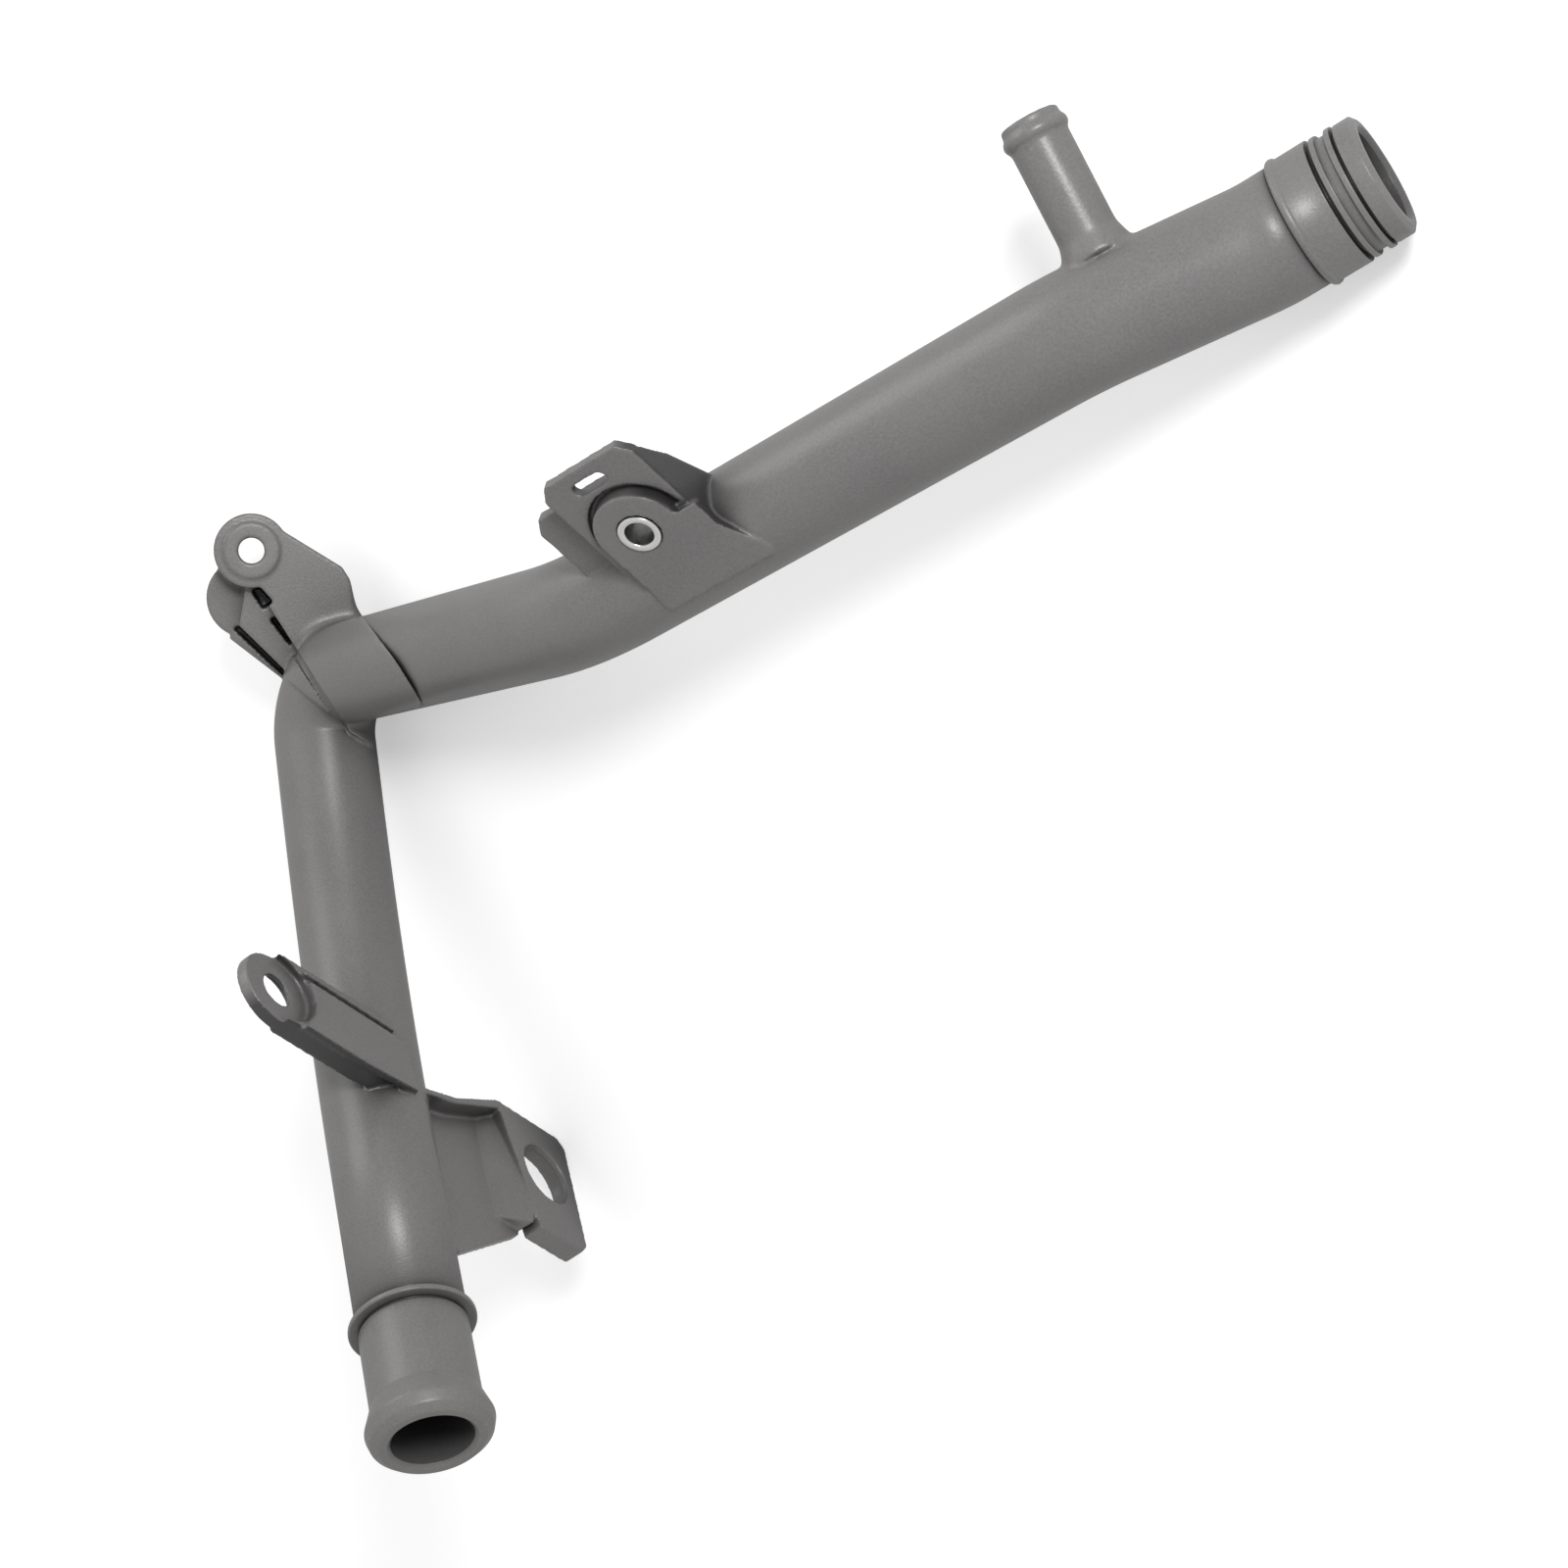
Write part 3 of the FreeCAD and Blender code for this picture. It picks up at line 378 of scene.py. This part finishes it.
def spigot_piece():
    """Rim, nose, two ribs round the O-ring groove, sealing land and stop bead."""
    tail = STOP_BEAD + STOP_BEAD_ROUND
    edge, root = 0.3, 0.2
    bead = bulge(STOP_BEAD, STOP_BEAD_RADIUS, STOP_BEAD_ROUND, LAND_RADIUS)
    parts = [
        ((0, BORE_RADIUS + MOUTH_CHAMFER), 0.3),
        ((0, RIM_RADIUS), 0.5),
        ((RIM_ROUND, NOSE_RADIUS), 0.6),
        ((NOSE_END, NOSE_RADIUS), edge),
        ((NOSE_END, SLIT_RADIUS), root),
        ((FIRST_RIB, SLIT_RADIUS), root),
        ((FIRST_RIB, RIB_RADIUS), edge),
        ((GROOVE, RIB_RADIUS), edge),
        ((GROOVE, GROOVE_RADIUS), root),
        ((SECOND_RIB, GROOVE_RADIUS), root),
        ((SECOND_RIB, RIB_RADIUS), edge),
        ((RELIEF, RIB_RADIUS), edge),
        ((RELIEF, SLIT_RADIUS), root),
        ((LAND, SLIT_RADIUS), root),
        ((LAND, LAND_RADIUS), edge),
    ] + simple(bead) + [
        ((tail, TUBE_RADIUS - TUCK), 0),
        ((tail, BORE_RADIUS + FUNNEL), 0),
        ((STOP_BEAD, BORE_RADIUS), 0),
        ((MOUTH_CHAMFER, BORE_RADIUS), 0.3),
    ]
    bm = bmesh.new()
    add_grid(bm, turned_rings(build_profile(parts), 128))
    return finished("spigot_end", bm, to_floor @ along_run(rim, -spigot_way))


def hose_piece():
    """Lip, barb bead, barrel and collar of the hose end."""
    parts = [
        ((0, BORE_RADIUS + MOUTH_CHAMFER), 0.5),
        ((0, HOSE_LIP_RADIUS), 1.2),
        ((HOSE_SHOULDER, HOSE_SHOULDER_RADIUS), 2.2),
        ((HOSE_CREST, HOSE_CREST_RADIUS), 2.4),
        ((HOSE_SLOPE_END, BARREL_RADIUS), 1.8),
        ((HOSE_UNDERCUT, BARREL_RADIUS), 0.3),
        ((HOSE_UNDERCUT + 0.2, UNDERCUT_RADIUS), 0.2),
        ((HOSE_COLLAR, UNDERCUT_RADIUS), 0.2),
        ((HOSE_COLLAR, COLLAR_RADIUS), 0.7),
        ((HOSE_COLLAR + COLLAR_WIDTH, COLLAR_RADIUS - 0.1), 1.0),
        ((HOSE_TAIL, TUBE_RADIUS), 1.2),
        ((HOSE_TAIL, TUBE_RADIUS - TUCK), 0),
        ((HOSE_TAIL, BORE_RADIUS + FUNNEL), 0),
        ((HOSE_LENGTH - 2, BORE_RADIUS), 0),
        ((MOUTH_CHAMFER, BORE_RADIUS), 0.4),
    ]
    bm = bmesh.new()
    add_grid(bm, turned_rings(build_profile(parts), 128))
    return finished("hose_end", bm, to_floor @ along_run(mouth, -leg_low))


def whole_route(from_rim=0.0, from_mouth=0.0):
    """The tube's middle line, from the spigot's rim to the hose end's mouth or some way short of them."""
    return rounded_route(
        [rim - spigot_way * from_rim, spigot_corner, stub_corner, sweep_corner, elbow, leg_corner,
         mouth - leg_low * from_mouth],
        [SPIGOT_BEND, STUB_BEND, SWEEP_BEND, ELBOW_BEND, LEG_BEND], 2.0)


def tube_piece():
    """The bent tube between the stop bead and the collar."""
    route = whole_route(STOP_BEAD, HOSE_LENGTH)
    return finished("pipe_tube", swept(sweeping, route, TUBE_RADIUS, BORE_RADIUS), to_floor)


def paint_bore_shade(piece, middle_line, radius, fade=9.0):
    """Painted shade on the skin of a passage, darker away from the two ends."""
    points = [to_floor @ p for p in fine_line(middle_line, 1.5)]
    near = kdtree.KDTree(len(points))
    for n, point in enumerate(points):
        near.insert(point, n)
    near.balance()
    # the vertex attribute that carries painted shade
    mark = piece.data.attributes.new("painted_shade", "FLOAT", "POINT")
    for vert, value in zip(piece.data.vertices, mark.data):
        point, _, gap = near.find(vert.co)
        depth = min((point - points[0]).length, (point - points[-1]).length)
        value.value = min(1.0, depth / (fade * MM)) if gap < radius * MM else 0.0


def mark_shade(piece, way, spot, reach):
    """Painted shade on the walls of a bracket that face one way, near one place, both in the layout frame."""
    least_facing, full_facing, fade, strength = 0.45, 0.75, 4.0, 0.85
    into = to_floor.inverted()
    mark = piece.data.attributes["painted_shade"]
    facing_way = to_floor.to_3x3().normalized() @ way
    for vert, value in zip(piece.data.vertices, mark.data):
        share = (vert.normal.dot(facing_way) - least_facing) / (full_facing - least_facing)
        near = (reach - (into @ vert.co - spot).length) / fade
        value.value = max(value.value, strength * max(0.0, min(1.0, share, near)))


def remeshed(piece, voxel, softness, keep=1.0, blend=None):
    """Joins overlapping closed shells into one skin with soft edges.

    `blend` is a frame, a weight for a place in it, and how many more times to soften there.
    """
    bpy.context.view_layer.objects.active = piece
    joined = piece.modifiers.new("joined", "REMESH")
    joined.mode = "VOXEL"
    joined.voxel_size = voxel * MM
    joined.use_smooth_shade = True
    soft = piece.modifiers.new("soft", "SMOOTH")
    soft.factor = 0.5
    soft.iterations = softness
    if blend:
        bpy.context.view_layer.update()
        skin = bpy.data.meshes.new_from_object(piece.evaluated_get(bpy.context.evaluated_depsgraph_get()))
        piece.modifiers.clear()
        rough = piece.data
        piece.data = skin
        bpy.data.meshes.remove(rough)
        own_frame, weigh, extra = blend
        into_frame = (to_floor @ own_frame).inverted()
        near = piece.vertex_groups.new(name="near")
        for vert in skin.vertices:
            weight = weigh(into_frame @ vert.co)
            if weight > 0:
                near.add([vert.index], min(1.0, weight), "REPLACE")
        fillet = piece.modifiers.new("fillet", "SMOOTH")
        fillet.factor = 0.6
        fillet.iterations = extra
        fillet.vertex_group = "near"
    if keep < 1:
        fewer = piece.modifiers.new("fewer", "DECIMATE")
        fewer.ratio = keep
    bpy.context.view_layer.update()
    result = bpy.data.meshes.new_from_object(piece.evaluated_get(bpy.context.evaluated_depsgraph_get()))
    piece.modifiers.clear()
    piece.vertex_groups.clear()
    old = piece.data
    piece.data = result
    bpy.data.meshes.remove(old)
    result.shade_smooth()
    return piece


def stub_blend(place):
    """Strong round the stub's foot, none further up the stub or along the arm."""
    return 1.35 - place.length / STUB_BLEND_REACH


def stub_piece():
    """The heater stub, with its foot blended into a short length of the arm."""
    lean = math.radians(STUB_LEAN)
    way = beside(arm_high, STUB_CLOCK) * math.cos(lean) - arm_high * math.sin(lean)
    root = stub_corner + arm_high * STUB_PLACE
    bead = bulge(STUB_BEAD_PLACE, STUB_BEAD_RADIUS, STUB_BEAD_ROUND, STUB_RADIUS, 12)
    foot_top = STUB_REACH - TUBE_RADIUS - STUB_FOOT_HEIGHT
    foot_low = STUB_REACH - TUBE_RADIUS + STUB_SINK
    foot_share = (STUB_FOOT_HEIGHT + STUB_SINK) / (TUBE_RADIUS + STUB_FOOT_HEIGHT)
    flare = STUB_RADIUS + (STUB_FOOT - STUB_RADIUS) * foot_share
    parts = [((0, STUB_BORE + MOUTH_CHAMFER), 0.3), ((0, STUB_RADIUS), 0.7)] + simple(bead) + [
        ((foot_top, STUB_RADIUS), STUB_FOOT_ROUND),
        ((foot_low, flare), 0),
        ((foot_low, STUB_BORE), 0),
        ((MOUTH_CHAMFER, STUB_BORE), 0.3),
    ]
    bm = bmesh.new()
    add_grid(bm, turned_rings(build_profile(parts), 96))
    bmesh.ops.transform(bm, matrix=along_run(root + way * STUB_REACH, -way), verts=bm.verts)
    route = rounded_route([spigot_corner, stub_corner, sweep_corner], [STUB_BEND], 2.0)
    near = [p for p in fine_line(route, 1.5) if (p - root).length < STUB_LENGTH_OF_ARM]
    add_to(bm, swept(sweeping, near, TUBE_RADIUS - 0.03, BORE_RADIUS + 0.2))
    piece = finished("heater_stub", bm, to_floor)
    foot = Matrix.Translation(root + way * TUBE_RADIUS)
    return remeshed(piece, voxel=0.5, softness=8, blend=(foot, stub_blend, 30))


def post(bm, face, spot, top, length, outer, inner, around=96):
    """A round post or ring square to a bracket's face, in the layout frame."""
    x, y = spot
    soft = 0.3
    profile = build_profile([((top, inner), 0.2), ((top, outer), soft), ((top - length, outer), soft),
                             ((top - length, inner), 0.2)], 2)
    rings = turned_rings(profile, around)
    place = face @ Matrix.Translation((x, y, 0))
    add_grid(bm, [[place @ p for p in ring] for ring in rings])


def passage():
    """A thick lining round the whole way through, to keep the brackets' copies out of it."""
    return swept(sweeping, whole_route(), SKIN_RADIUS, inner=8, sides=64)


def carved(piece, cutter):
    """Takes one closed shape away from a piece."""
    tool = finished("cutter", cutter, to_floor)
    bite = piece.modifiers.new("bite", "BOOLEAN")
    bite.operation = "DIFFERENCE"
    bite.solver = "EXACT"
    bite.object = tool
    bpy.context.view_layer.update()
    result = bpy.data.meshes.new_from_object(piece.evaluated_get(bpy.context.evaluated_depsgraph_get()))
    piece.modifiers.clear()
    old = piece.data
    piece.data = result
    bpy.data.meshes.remove(old)
    shape = tool.data
    bpy.data.objects.remove(tool)
    bpy.data.meshes.remove(shape)


def bracket_piece(name, cuts, cutter, added, voxel, softness, keep, blend=None):
    """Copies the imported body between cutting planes, carves it, adds fine shapes, and softens the whole."""
    bm = bmesh.new()
    bm.from_mesh(packed.data)
    bmesh.ops.transform(bm, matrix=to_floor.inverted(), verts=bm.verts)
    bmesh.ops.remove_doubles(bm, verts=bm.verts, dist=1e-3)
    cut_by(bm, cuts)
    piece = finished(name, bm, to_floor)
    carved(piece, passage())
    if cutter:
        carved(piece, cutter)
    bm = bmesh.new()
    bm.from_mesh(piece.data)
    bmesh.ops.transform(bm, matrix=to_floor.inverted(), verts=bm.verts)
    add_to(bm, added)
    bmesh.ops.recalc_face_normals(bm, faces=bm.faces)
    bmesh.ops.transform(bm, matrix=to_floor, verts=bm.verts)
    bm.to_mesh(piece.data)
    bm.free()
    return remeshed(piece, voxel, softness, keep, blend)


def side_plane(face, start, end, way_out=1):
    """A plane square to a bracket's face through two points of it, facing out on one side."""
    (x0, y0), (x1, y1) = start, end
    out = face.to_3x3() @ Vector((y1 - y0, x0 - x1, 0)).normalized()
    return face @ Vector((x0, y0, 0)), out * way_out


def ear_blend(place):
    """Strong where the flat plate climbs on to the round elbow, none at the grooves and the edges."""
    low, high = FOLD_BAND
    across = min(1.0, (high - place.y) / 3, (place.y - low) / 4)
    return min(across, 1.4 - abs(place.x - FOLD_MIDDLE) / FOLD_REACH)


def ear_additions():
    """The fine boss, the band that climbs over the elbow and the low rail beside it."""
    added = bmesh.new()
    post(added, ear_frame, EAR_BOLT, 0, EAR_DEPTH, EAR_BOSS, EAR_BORE)
    post(added, ear_frame, EAR_BOLT, EAR_PAD_RISE, EAR_PLATE, EAR_PAD_RADIUS, EAR_BORE)
    way = ear_frame.to_3x3()
    corners = [elbow + arm_low * SADDLE_ARM, elbow, elbow + leg_top * SADDLE_LEG]
    route = fine_line(rounded_route(corners, [ELBOW_BEND], 2.0), 2.0)
    low, high = SADDLE_BAND
    ends = [(ear_frame @ Vector((SADDLE_START, 0, 0)), way @ Vector((1, 0, 0))),
            (ear_frame @ Vector((0, 0, SADDLE_FLOOR)), way @ Vector((0, 0, -1)))]
    band = swept(sweeping, [p + EYE_BACK * SADDLE_SHIFT for p in route], TUBE_RADIUS, SKIN_RADIUS, 96)
    cut_by(band, ends + [
        (ear_frame @ Vector((0, low, 0)), way @ Vector((0, -1, 0))),
        (ear_frame @ Vector((0, high, 0)), way @ Vector((0, 1, 0))),
        side_plane(ear_frame, *SADDLE_END),
    ])
    add_to(added, band)
    rail = swept(sweeping, [p + EYE_BACK * RAIL_SHIFT for p in route], TUBE_RADIUS, SKIN_RADIUS, 96)
    cut_by(rail, ends + [
        (ear_frame @ Vector((0, RAIL_INNER, 0)), way @ Vector((0, -1, 0))),
        side_plane(ear_frame, *RAIL_EDGE, -1),
    ])
    add_to(added, rail)
    return added


def pad_cutter():
    """A shallow channel round the upper half of the pad's round face."""
    bm = bmesh.new()
    inside, outside = PAD_BOSS - 0.2, PAD_BOSS + MOAT_WIDTH
    profile = [(MOAT_TOP, inside), (MOAT_TOP, outside), (MOAT_FLOOR, outside), (MOAT_FLOOR, inside)]
    place = pad_frame @ Matrix.Translation((*PAD_BOLT, 0))
    add_grid(bm, [[place @ p for p in ring] for ring in turned_rings(profile, 96)])
    bmesh.ops.recalc_face_normals(bm, faces=bm.faces)
    cut_by(bm, [(place @ Vector((0, 0.4, 0)), pad_frame.to_3x3() @ Vector((0, -1, 0)))])
    return bm


def pad_additions():
    """The fine round face, kept out of the passage, and the gusset's smooth outer side."""
    boss = bmesh.new()
    post(boss, pad_frame, PAD_BOLT, 0, PAD_BOSS_DEPTH, PAD_BOSS, BUSH_RADIUS)
    blank = finished("boss", boss, to_floor)
    carved(blank, passage())
    added = bmesh.new()
    added.from_mesh(blank.data)
    bmesh.ops.transform(added, matrix=to_floor.inverted(), verts=added.verts)
    shape = blank.data
    bpy.data.objects.remove(blank)
    bpy.data.meshes.remove(shape)
    inner_side, outer_side = GUSSET_SIDE
    add_prism(added, pad_frame @ SIDEWAYS, GUSSET_EDGE, outer_side, inner_side)
    return added


def leg_cutter():
    """Thins the tab behind its large hole."""
    bm = bmesh.new()
    profile = [(-TAB_LIP, 0.5), (-TAB_LIP, TAB_RELIEF_RADIUS), (-20, TAB_RELIEF_RADIUS), (-20, 0.5)]
    place = flange_frame @ Matrix.Translation((*TAB_HOLE, 0))
    add_grid(bm, [[place @ p for p in ring] for ring in turned_rings(profile, 96)])
    return bm


def leg_additions():
    """The blade's fine end and raised face, and the slope from the web up to the tab."""
    added = bmesh.new()
    post(added, flange_frame, BLADE_BOLT, -BLADE_SEAT, FLANGE_DEPTH - BLADE_SEAT, BLADE_END, BLADE_END - 3)
    for outline in (BLADE_FACE, BLADE_RIM):
        add_prism(added, flange_frame, outline, BLADE_RISE, -1.0)
    start, end = TAB_SLOPE_RUN
    add_prism(added, flange_frame @ SIDEWAYS, TAB_SLOPE, end, start)
    return added


def pieces_of_body():
    """All the moulded pieces; the planes say how far along the arm and the leg each bracket's copy goes."""
    ear = bracket_piece("elbow_bracket", [
        (elbow + arm_low * 46, arm_low),
        (elbow + leg_top * 40, leg_top),
    ], None, ear_additions(), voxel=0.5, softness=8, keep=0.55, blend=(ear_frame, ear_blend, 160))
    pad = bracket_piece("arm_bracket", [
        (sweep_corner + arm_main * 20, -arm_main),
        (sweep_corner + arm_main * 96, arm_main),
    ], pad_cutter(), pad_additions(), voxel=0.5, softness=7, keep=0.6)
    leg = bracket_piece("leg_bracket", [
        (leg_corner + leg_low * 16, -leg_low),
        (leg_corner + leg_low * 120, leg_low),
        (elbow + leg_top * 60, -leg_top),
    ], leg_cutter(), leg_additions(), voxel=0.55, softness=9, keep=0.45)
    return [tube_piece(), spigot_piece(), hose_piece(), stub_piece(), ear, pad, leg]


def bush_piece():
    """The metal bush, with rolled edges."""
    bm = bmesh.new()
    top, length = BUSH_PROUD, PAD_BOSS_DEPTH + BUSH_PROUD
    profile = build_profile([((top, BUSH_BORE), 0.7), ((top, BUSH_RADIUS), 0.5),
                             ((top - length, BUSH_RADIUS), 0.5), ((top - length, BUSH_BORE), 0.7)], 4)
    add_grid(bm, turned_rings(profile, 96))
    return finished("bolt_bush", bm, to_floor @ pad_frame @ Matrix.Translation((*PAD_BOLT, 0)))


# materials

def material(name):
    """A material with an empty node tree, and that tree."""
    made = bpy.data.materials.new(name)
    made.use_nodes = True
    made.node_tree.nodes.clear()
    return made, made.node_tree


def node(tree, kind, **settings):
    """A new node with its settings."""
    made = tree.nodes.new(kind)
    for key, value in settings.items():
        setattr(made, key, value)
    return made


def noise(tree, vector, scale, detail):
    """Noise on the given coordinates, with its scale from a socket."""
    made = node(tree, "ShaderNodeTexNoise")
    made.inputs["Detail"].default_value = detail
    made.inputs["Roughness"].default_value = 0.55
    tree.links.new(scale, made.inputs["Scale"])
    tree.links.new(vector, made.inputs["Vector"])
    return made.outputs["Fac"]


def spread(tree, value, low, high, start=0.3, end=0.7):
    """Maps the stretch from `start` to `end` of a value onto the range from `low` to `high`."""
    made = node(tree, "ShaderNodeMapRange")
    made.inputs["From Min"].default_value = start
    made.inputs["From Max"].default_value = end
    made.inputs["To Min"].default_value = low
    made.inputs["To Max"].default_value = high
    tree.links.new(value, made.inputs["Value"])
    return made.outputs["Result"]


def surface_group():
    """What the moulded skin and the metal share: drifting tone, fine grain, painted shade in hollows, and
    paler edges that are partly rubbed wear and partly painted highlight.
    """
    tree = bpy.data.node_groups.new("grain, wear and painted light", "ShaderNodeTree")
    sockets = tree.interface
    sockets.new_socket("Vector", in_out="INPUT", socket_type="NodeSocketVector")
    for name, value in (("Cloud scale", 40.0), ("Grain scale", 1500.0), ("Painted shade reach", 0.02)):
        sockets.new_socket(name, in_out="INPUT", socket_type="NodeSocketFloat").default_value = value
    for name in ("Tone", "Grain", "Painted shade", "Edges"):
        sockets.new_socket(name, in_out="OUTPUT", socket_type="NodeSocketFloat")
    given = node(tree, "NodeGroupInput")
    done = node(tree, "NodeGroupOutput")
    cloud = noise(tree, given.outputs["Vector"], given.outputs["Cloud scale"], 5)
    grain = noise(tree, given.outputs["Vector"], given.outputs["Grain scale"], 3)
    tree.links.new(spread(tree, cloud, 0.0, 1.0), done.inputs["Tone"])
    tree.links.new(grain, done.inputs["Grain"])
    # painted shade: darker where the surface is hemmed in by nearby surfaces
    occlusion = node(tree, "ShaderNodeAmbientOcclusion", samples=8)
    tree.links.new(given.outputs["Painted shade reach"], occlusion.inputs["Distance"])
    tree.links.new(spread(tree, occlusion.outputs["AO"], 1.0, 0.0, 0.33, 0.92), done.inputs["Painted shade"])
    # paler edges: partly rubbed wear, partly painted highlight
    shape = node(tree, "ShaderNodeNewGeometry")
    tree.links.new(spread(tree, shape.outputs["Pointiness"], 0.0, 1.0, 0.59, 0.72), done.inputs["Edges"])
    return tree


def mixed(tree, share, first, second):
    """Mixes two colours, each a plain colour or a socket, by a socket."""
    made = node(tree, "ShaderNodeMix", data_type="RGBA")
    tree.links.new(share, made.inputs[0])
    for socket, colour in ((made.inputs[6], first), (made.inputs[7], second)):
        if isinstance(colour, tuple):
            socket.default_value = (*colour, 1)
        else:
            tree.links.new(colour, socket)
    return made.outputs[2]


def grain_wear_and_painted_light(tree, cloud_scale, grain_scale, reach):
    """Places the shared surface group in a material, on Object coordinates."""
    group = node(tree, "ShaderNodeGroup")
    group.node_tree = surface
    tree.links.new(node(tree, "ShaderNodeTexCoord").outputs["Object"], group.inputs["Vector"])
    group.inputs["Cloud scale"].default_value = cloud_scale
    group.inputs["Grain scale"].default_value = grain_scale
    group.inputs["Painted shade reach"].default_value = reach
    return group.outputs


def grained(tree, height, skin, strength, depth):
    """Gives a skin a fine grain from a height value; the depth is in metres."""
    bump = node(tree, "ShaderNodeBump")
    bump.inputs["Strength"].default_value = strength
    bump.inputs["Distance"].default_value = depth
    tree.links.new(height, bump.inputs["Height"])
    tree.links.new(bump.outputs["Normal"], skin.inputs["Normal"])


def plastic():
    """Grey moulded plastic: cloudy tone, fine grain, painted shade in hollows, in the passages and on some
    bracket walls, and paler edges that are partly rubbed wear and partly painted highlight.
    """
    made, tree = material("moulded plastic")
    out = node(tree, "ShaderNodeOutputMaterial")
    skin = node(tree, "ShaderNodeBsdfPrincipled")
    tree.links.new(skin.outputs["BSDF"], out.inputs["Surface"])
    look = grain_wear_and_painted_light(tree, 34, 1300, 0.03)
    flecked = mixed(tree, look["Tone"], (0.138, 0.131, 0.130), (0.163, 0.160, 0.152))
    grainy = mixed(tree, spread(tree, look["Grain"], 0.0, 0.5), flecked, (0.218, 0.213, 0.213))
    worn_and_highlit = mixed(tree, spread(tree, look["Edges"], 0.0, 0.4, 0.0, 1.0), grainy, (0.29, 0.285, 0.28))
    # a near black that stands for painted shade
    painted_shade_colour = (0.018, 0.017, 0.018)
    shaded_in_hollows = mixed(tree, spread(tree, look["Painted shade"], 0.0, 0.9, 0.0, 1.0), worn_and_highlit, painted_shade_colour)
    # painted shade carried by the vertex attribute, in the passages and on two bracket walls
    mark = node(tree, "ShaderNodeAttribute", attribute_name="painted_shade")
    tree.links.new(mixed(tree, spread(tree, mark.outputs["Fac"], 0.0, 0.92, 0.0, 1.0), shaded_in_hollows, painted_shade_colour),
                   skin.inputs["Base Color"])
    tree.links.new(spread(tree, look["Tone"], 0.30, 0.39, 0.0, 1.0), skin.inputs["Roughness"])
    grained(tree, look["Grain"], skin, 0.4, 0.00014)
    return made


def metal():
    """Bright plated steel of the pressed bush, with painted shade where it is deep."""
    made, tree = material("bright bush metal")
    out = node(tree, "ShaderNodeOutputMaterial")
    skin = node(tree, "ShaderNodeBsdfPrincipled")
    tree.links.new(skin.outputs["BSDF"], out.inputs["Surface"])
    skin.inputs["Metallic"].default_value = 1.0
    look = grain_wear_and_painted_light(tree, 260, 2400, 0.012)
    # painted shade: near black in hollows
    tree.links.new(mixed(tree, spread(tree, look["Painted shade"], 0.0, 0.85, 0.0, 1.0), (0.86, 0.86, 0.85),
                         (0.05, 0.05, 0.05)), skin.inputs["Base Color"])
    tree.links.new(spread(tree, look["Tone"], 0.24, 0.40, 0.0, 1.0), skin.inputs["Roughness"])
    grained(tree, look["Grain"], skin, 0.2, 0.00005)
    return made


def floor_material():
    """Pale and keeps the shadow; for the camera alone its colour is paler and lifted by a faint glow."""
    made, tree = material("pale floor")
    out = node(tree, "ShaderNodeOutputMaterial")
    skin = node(tree, "ShaderNodeBsdfPrincipled")
    skin.inputs["Roughness"].default_value = 0.9
    skin.inputs["Specular IOR Level"].default_value = 0.1
    skin.inputs["Emission Color"].default_value = (1, 1, 1, 1)
    lift = node(tree, "ShaderNodeMath", operation="MULTIPLY")
    lift.inputs[1].default_value = 0.36
    seen = node(tree, "ShaderNodeLightPath")
    tree.links.new(mixed(tree, seen.outputs["Is Camera Ray"], (0.62, 0.62, 0.62), (0.82, 0.82, 0.82)),
                   skin.inputs["Base Color"])
    tree.links.new(seen.outputs["Is Camera Ray"], lift.inputs[0])
    tree.links.new(lift.outputs[0], skin.inputs["Emission Strength"])
    tree.links.new(skin.outputs["BSDF"], out.inputs["Surface"])
    return made


# build and attach

surface = surface_group()
body_material = plastic()
sweeping = sweep_tree()
for piece in pieces_of_body():
    # painted shade deep in every passage, and on the walls of two brackets
    paint_bore_shade(piece, whole_route(), BORE_RADIUS + 1.2)
    if piece.name == "arm_bracket":
        mark_shade(piece, arm_main, pad_frame @ Vector(GUSSET_SPOT), GUSSET_REACH)
    if piece.name == "leg_bracket":
        mark_shade(piece, leg_low, flange_frame @ Vector(BLADE_SPOT), BLADE_REACH)
    piece.data.materials.clear()
    piece.data.materials.append(body_material)
    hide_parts("pipe_body")
    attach(piece, "root")

bush = bush_piece()
bush.data.materials.append(metal())
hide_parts("bush")
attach(bush, "root")

# stage, light and camera
bpy.ops.mesh.primitive_plane_add(size=6)
floor = bpy.context.active_object
floor.name = "floor"
floor.data.materials.append(floor_material())

world = bpy.data.worlds.new("studio")
world.use_nodes = True
world.node_tree.nodes["Background"].inputs["Color"].default_value = (1, 1, 1, 1)
world.node_tree.nodes["Background"].inputs["Strength"].default_value = SURROUNDINGS
bpy.context.scene.world = world

turn = to_floor.to_3x3() * (1 / MM)
eye = to_floor @ EYE
back = (turn @ EYE_BACK).normalized()
up = turn @ EYE_UP
camera_data = bpy.data.cameras.new("camera")
camera_data.lens = LENS
camera_data.sensor_width = SENSOR
camera = bpy.data.objects.new("camera", camera_data)
camera.matrix_world = facing(eye, back, up.cross(back))
bpy.context.scene.collection.objects.link(camera)
bpy.context.scene.camera = camera
right = up.cross(back).normalized()


def soft_light(name, place, aim, size, power, gloss=1.0):
    """A round lamp that looks at a point; `gloss` is its share in reflections."""
    lamp = bpy.data.lights.new(name, "AREA")
    lamp.shape = "DISK"
    lamp.size = size
    lamp.energy = power
    lamp.specular_factor = gloss
    made = bpy.data.objects.new(name, lamp)
    made.matrix_world = facing(place, place - aim, Vector((1, 0, 0)))
    bpy.context.scene.collection.objects.link(made)


middle = Vector((0, 0, 0.05))
high = (turn @ Vector(HIGH_LIGHT)).normalized()
soft_light("high", middle + high * 1.2, middle, HIGH_WIDTH, HIGH_POWER, gloss=0.4)
soft_light("front", middle + back * 1.1 + up * 0.42 + right * 0.05, middle, FRONT_WIDTH, FRONT_POWER)

bpy.context.scene.view_settings.view_transform = "Standard"
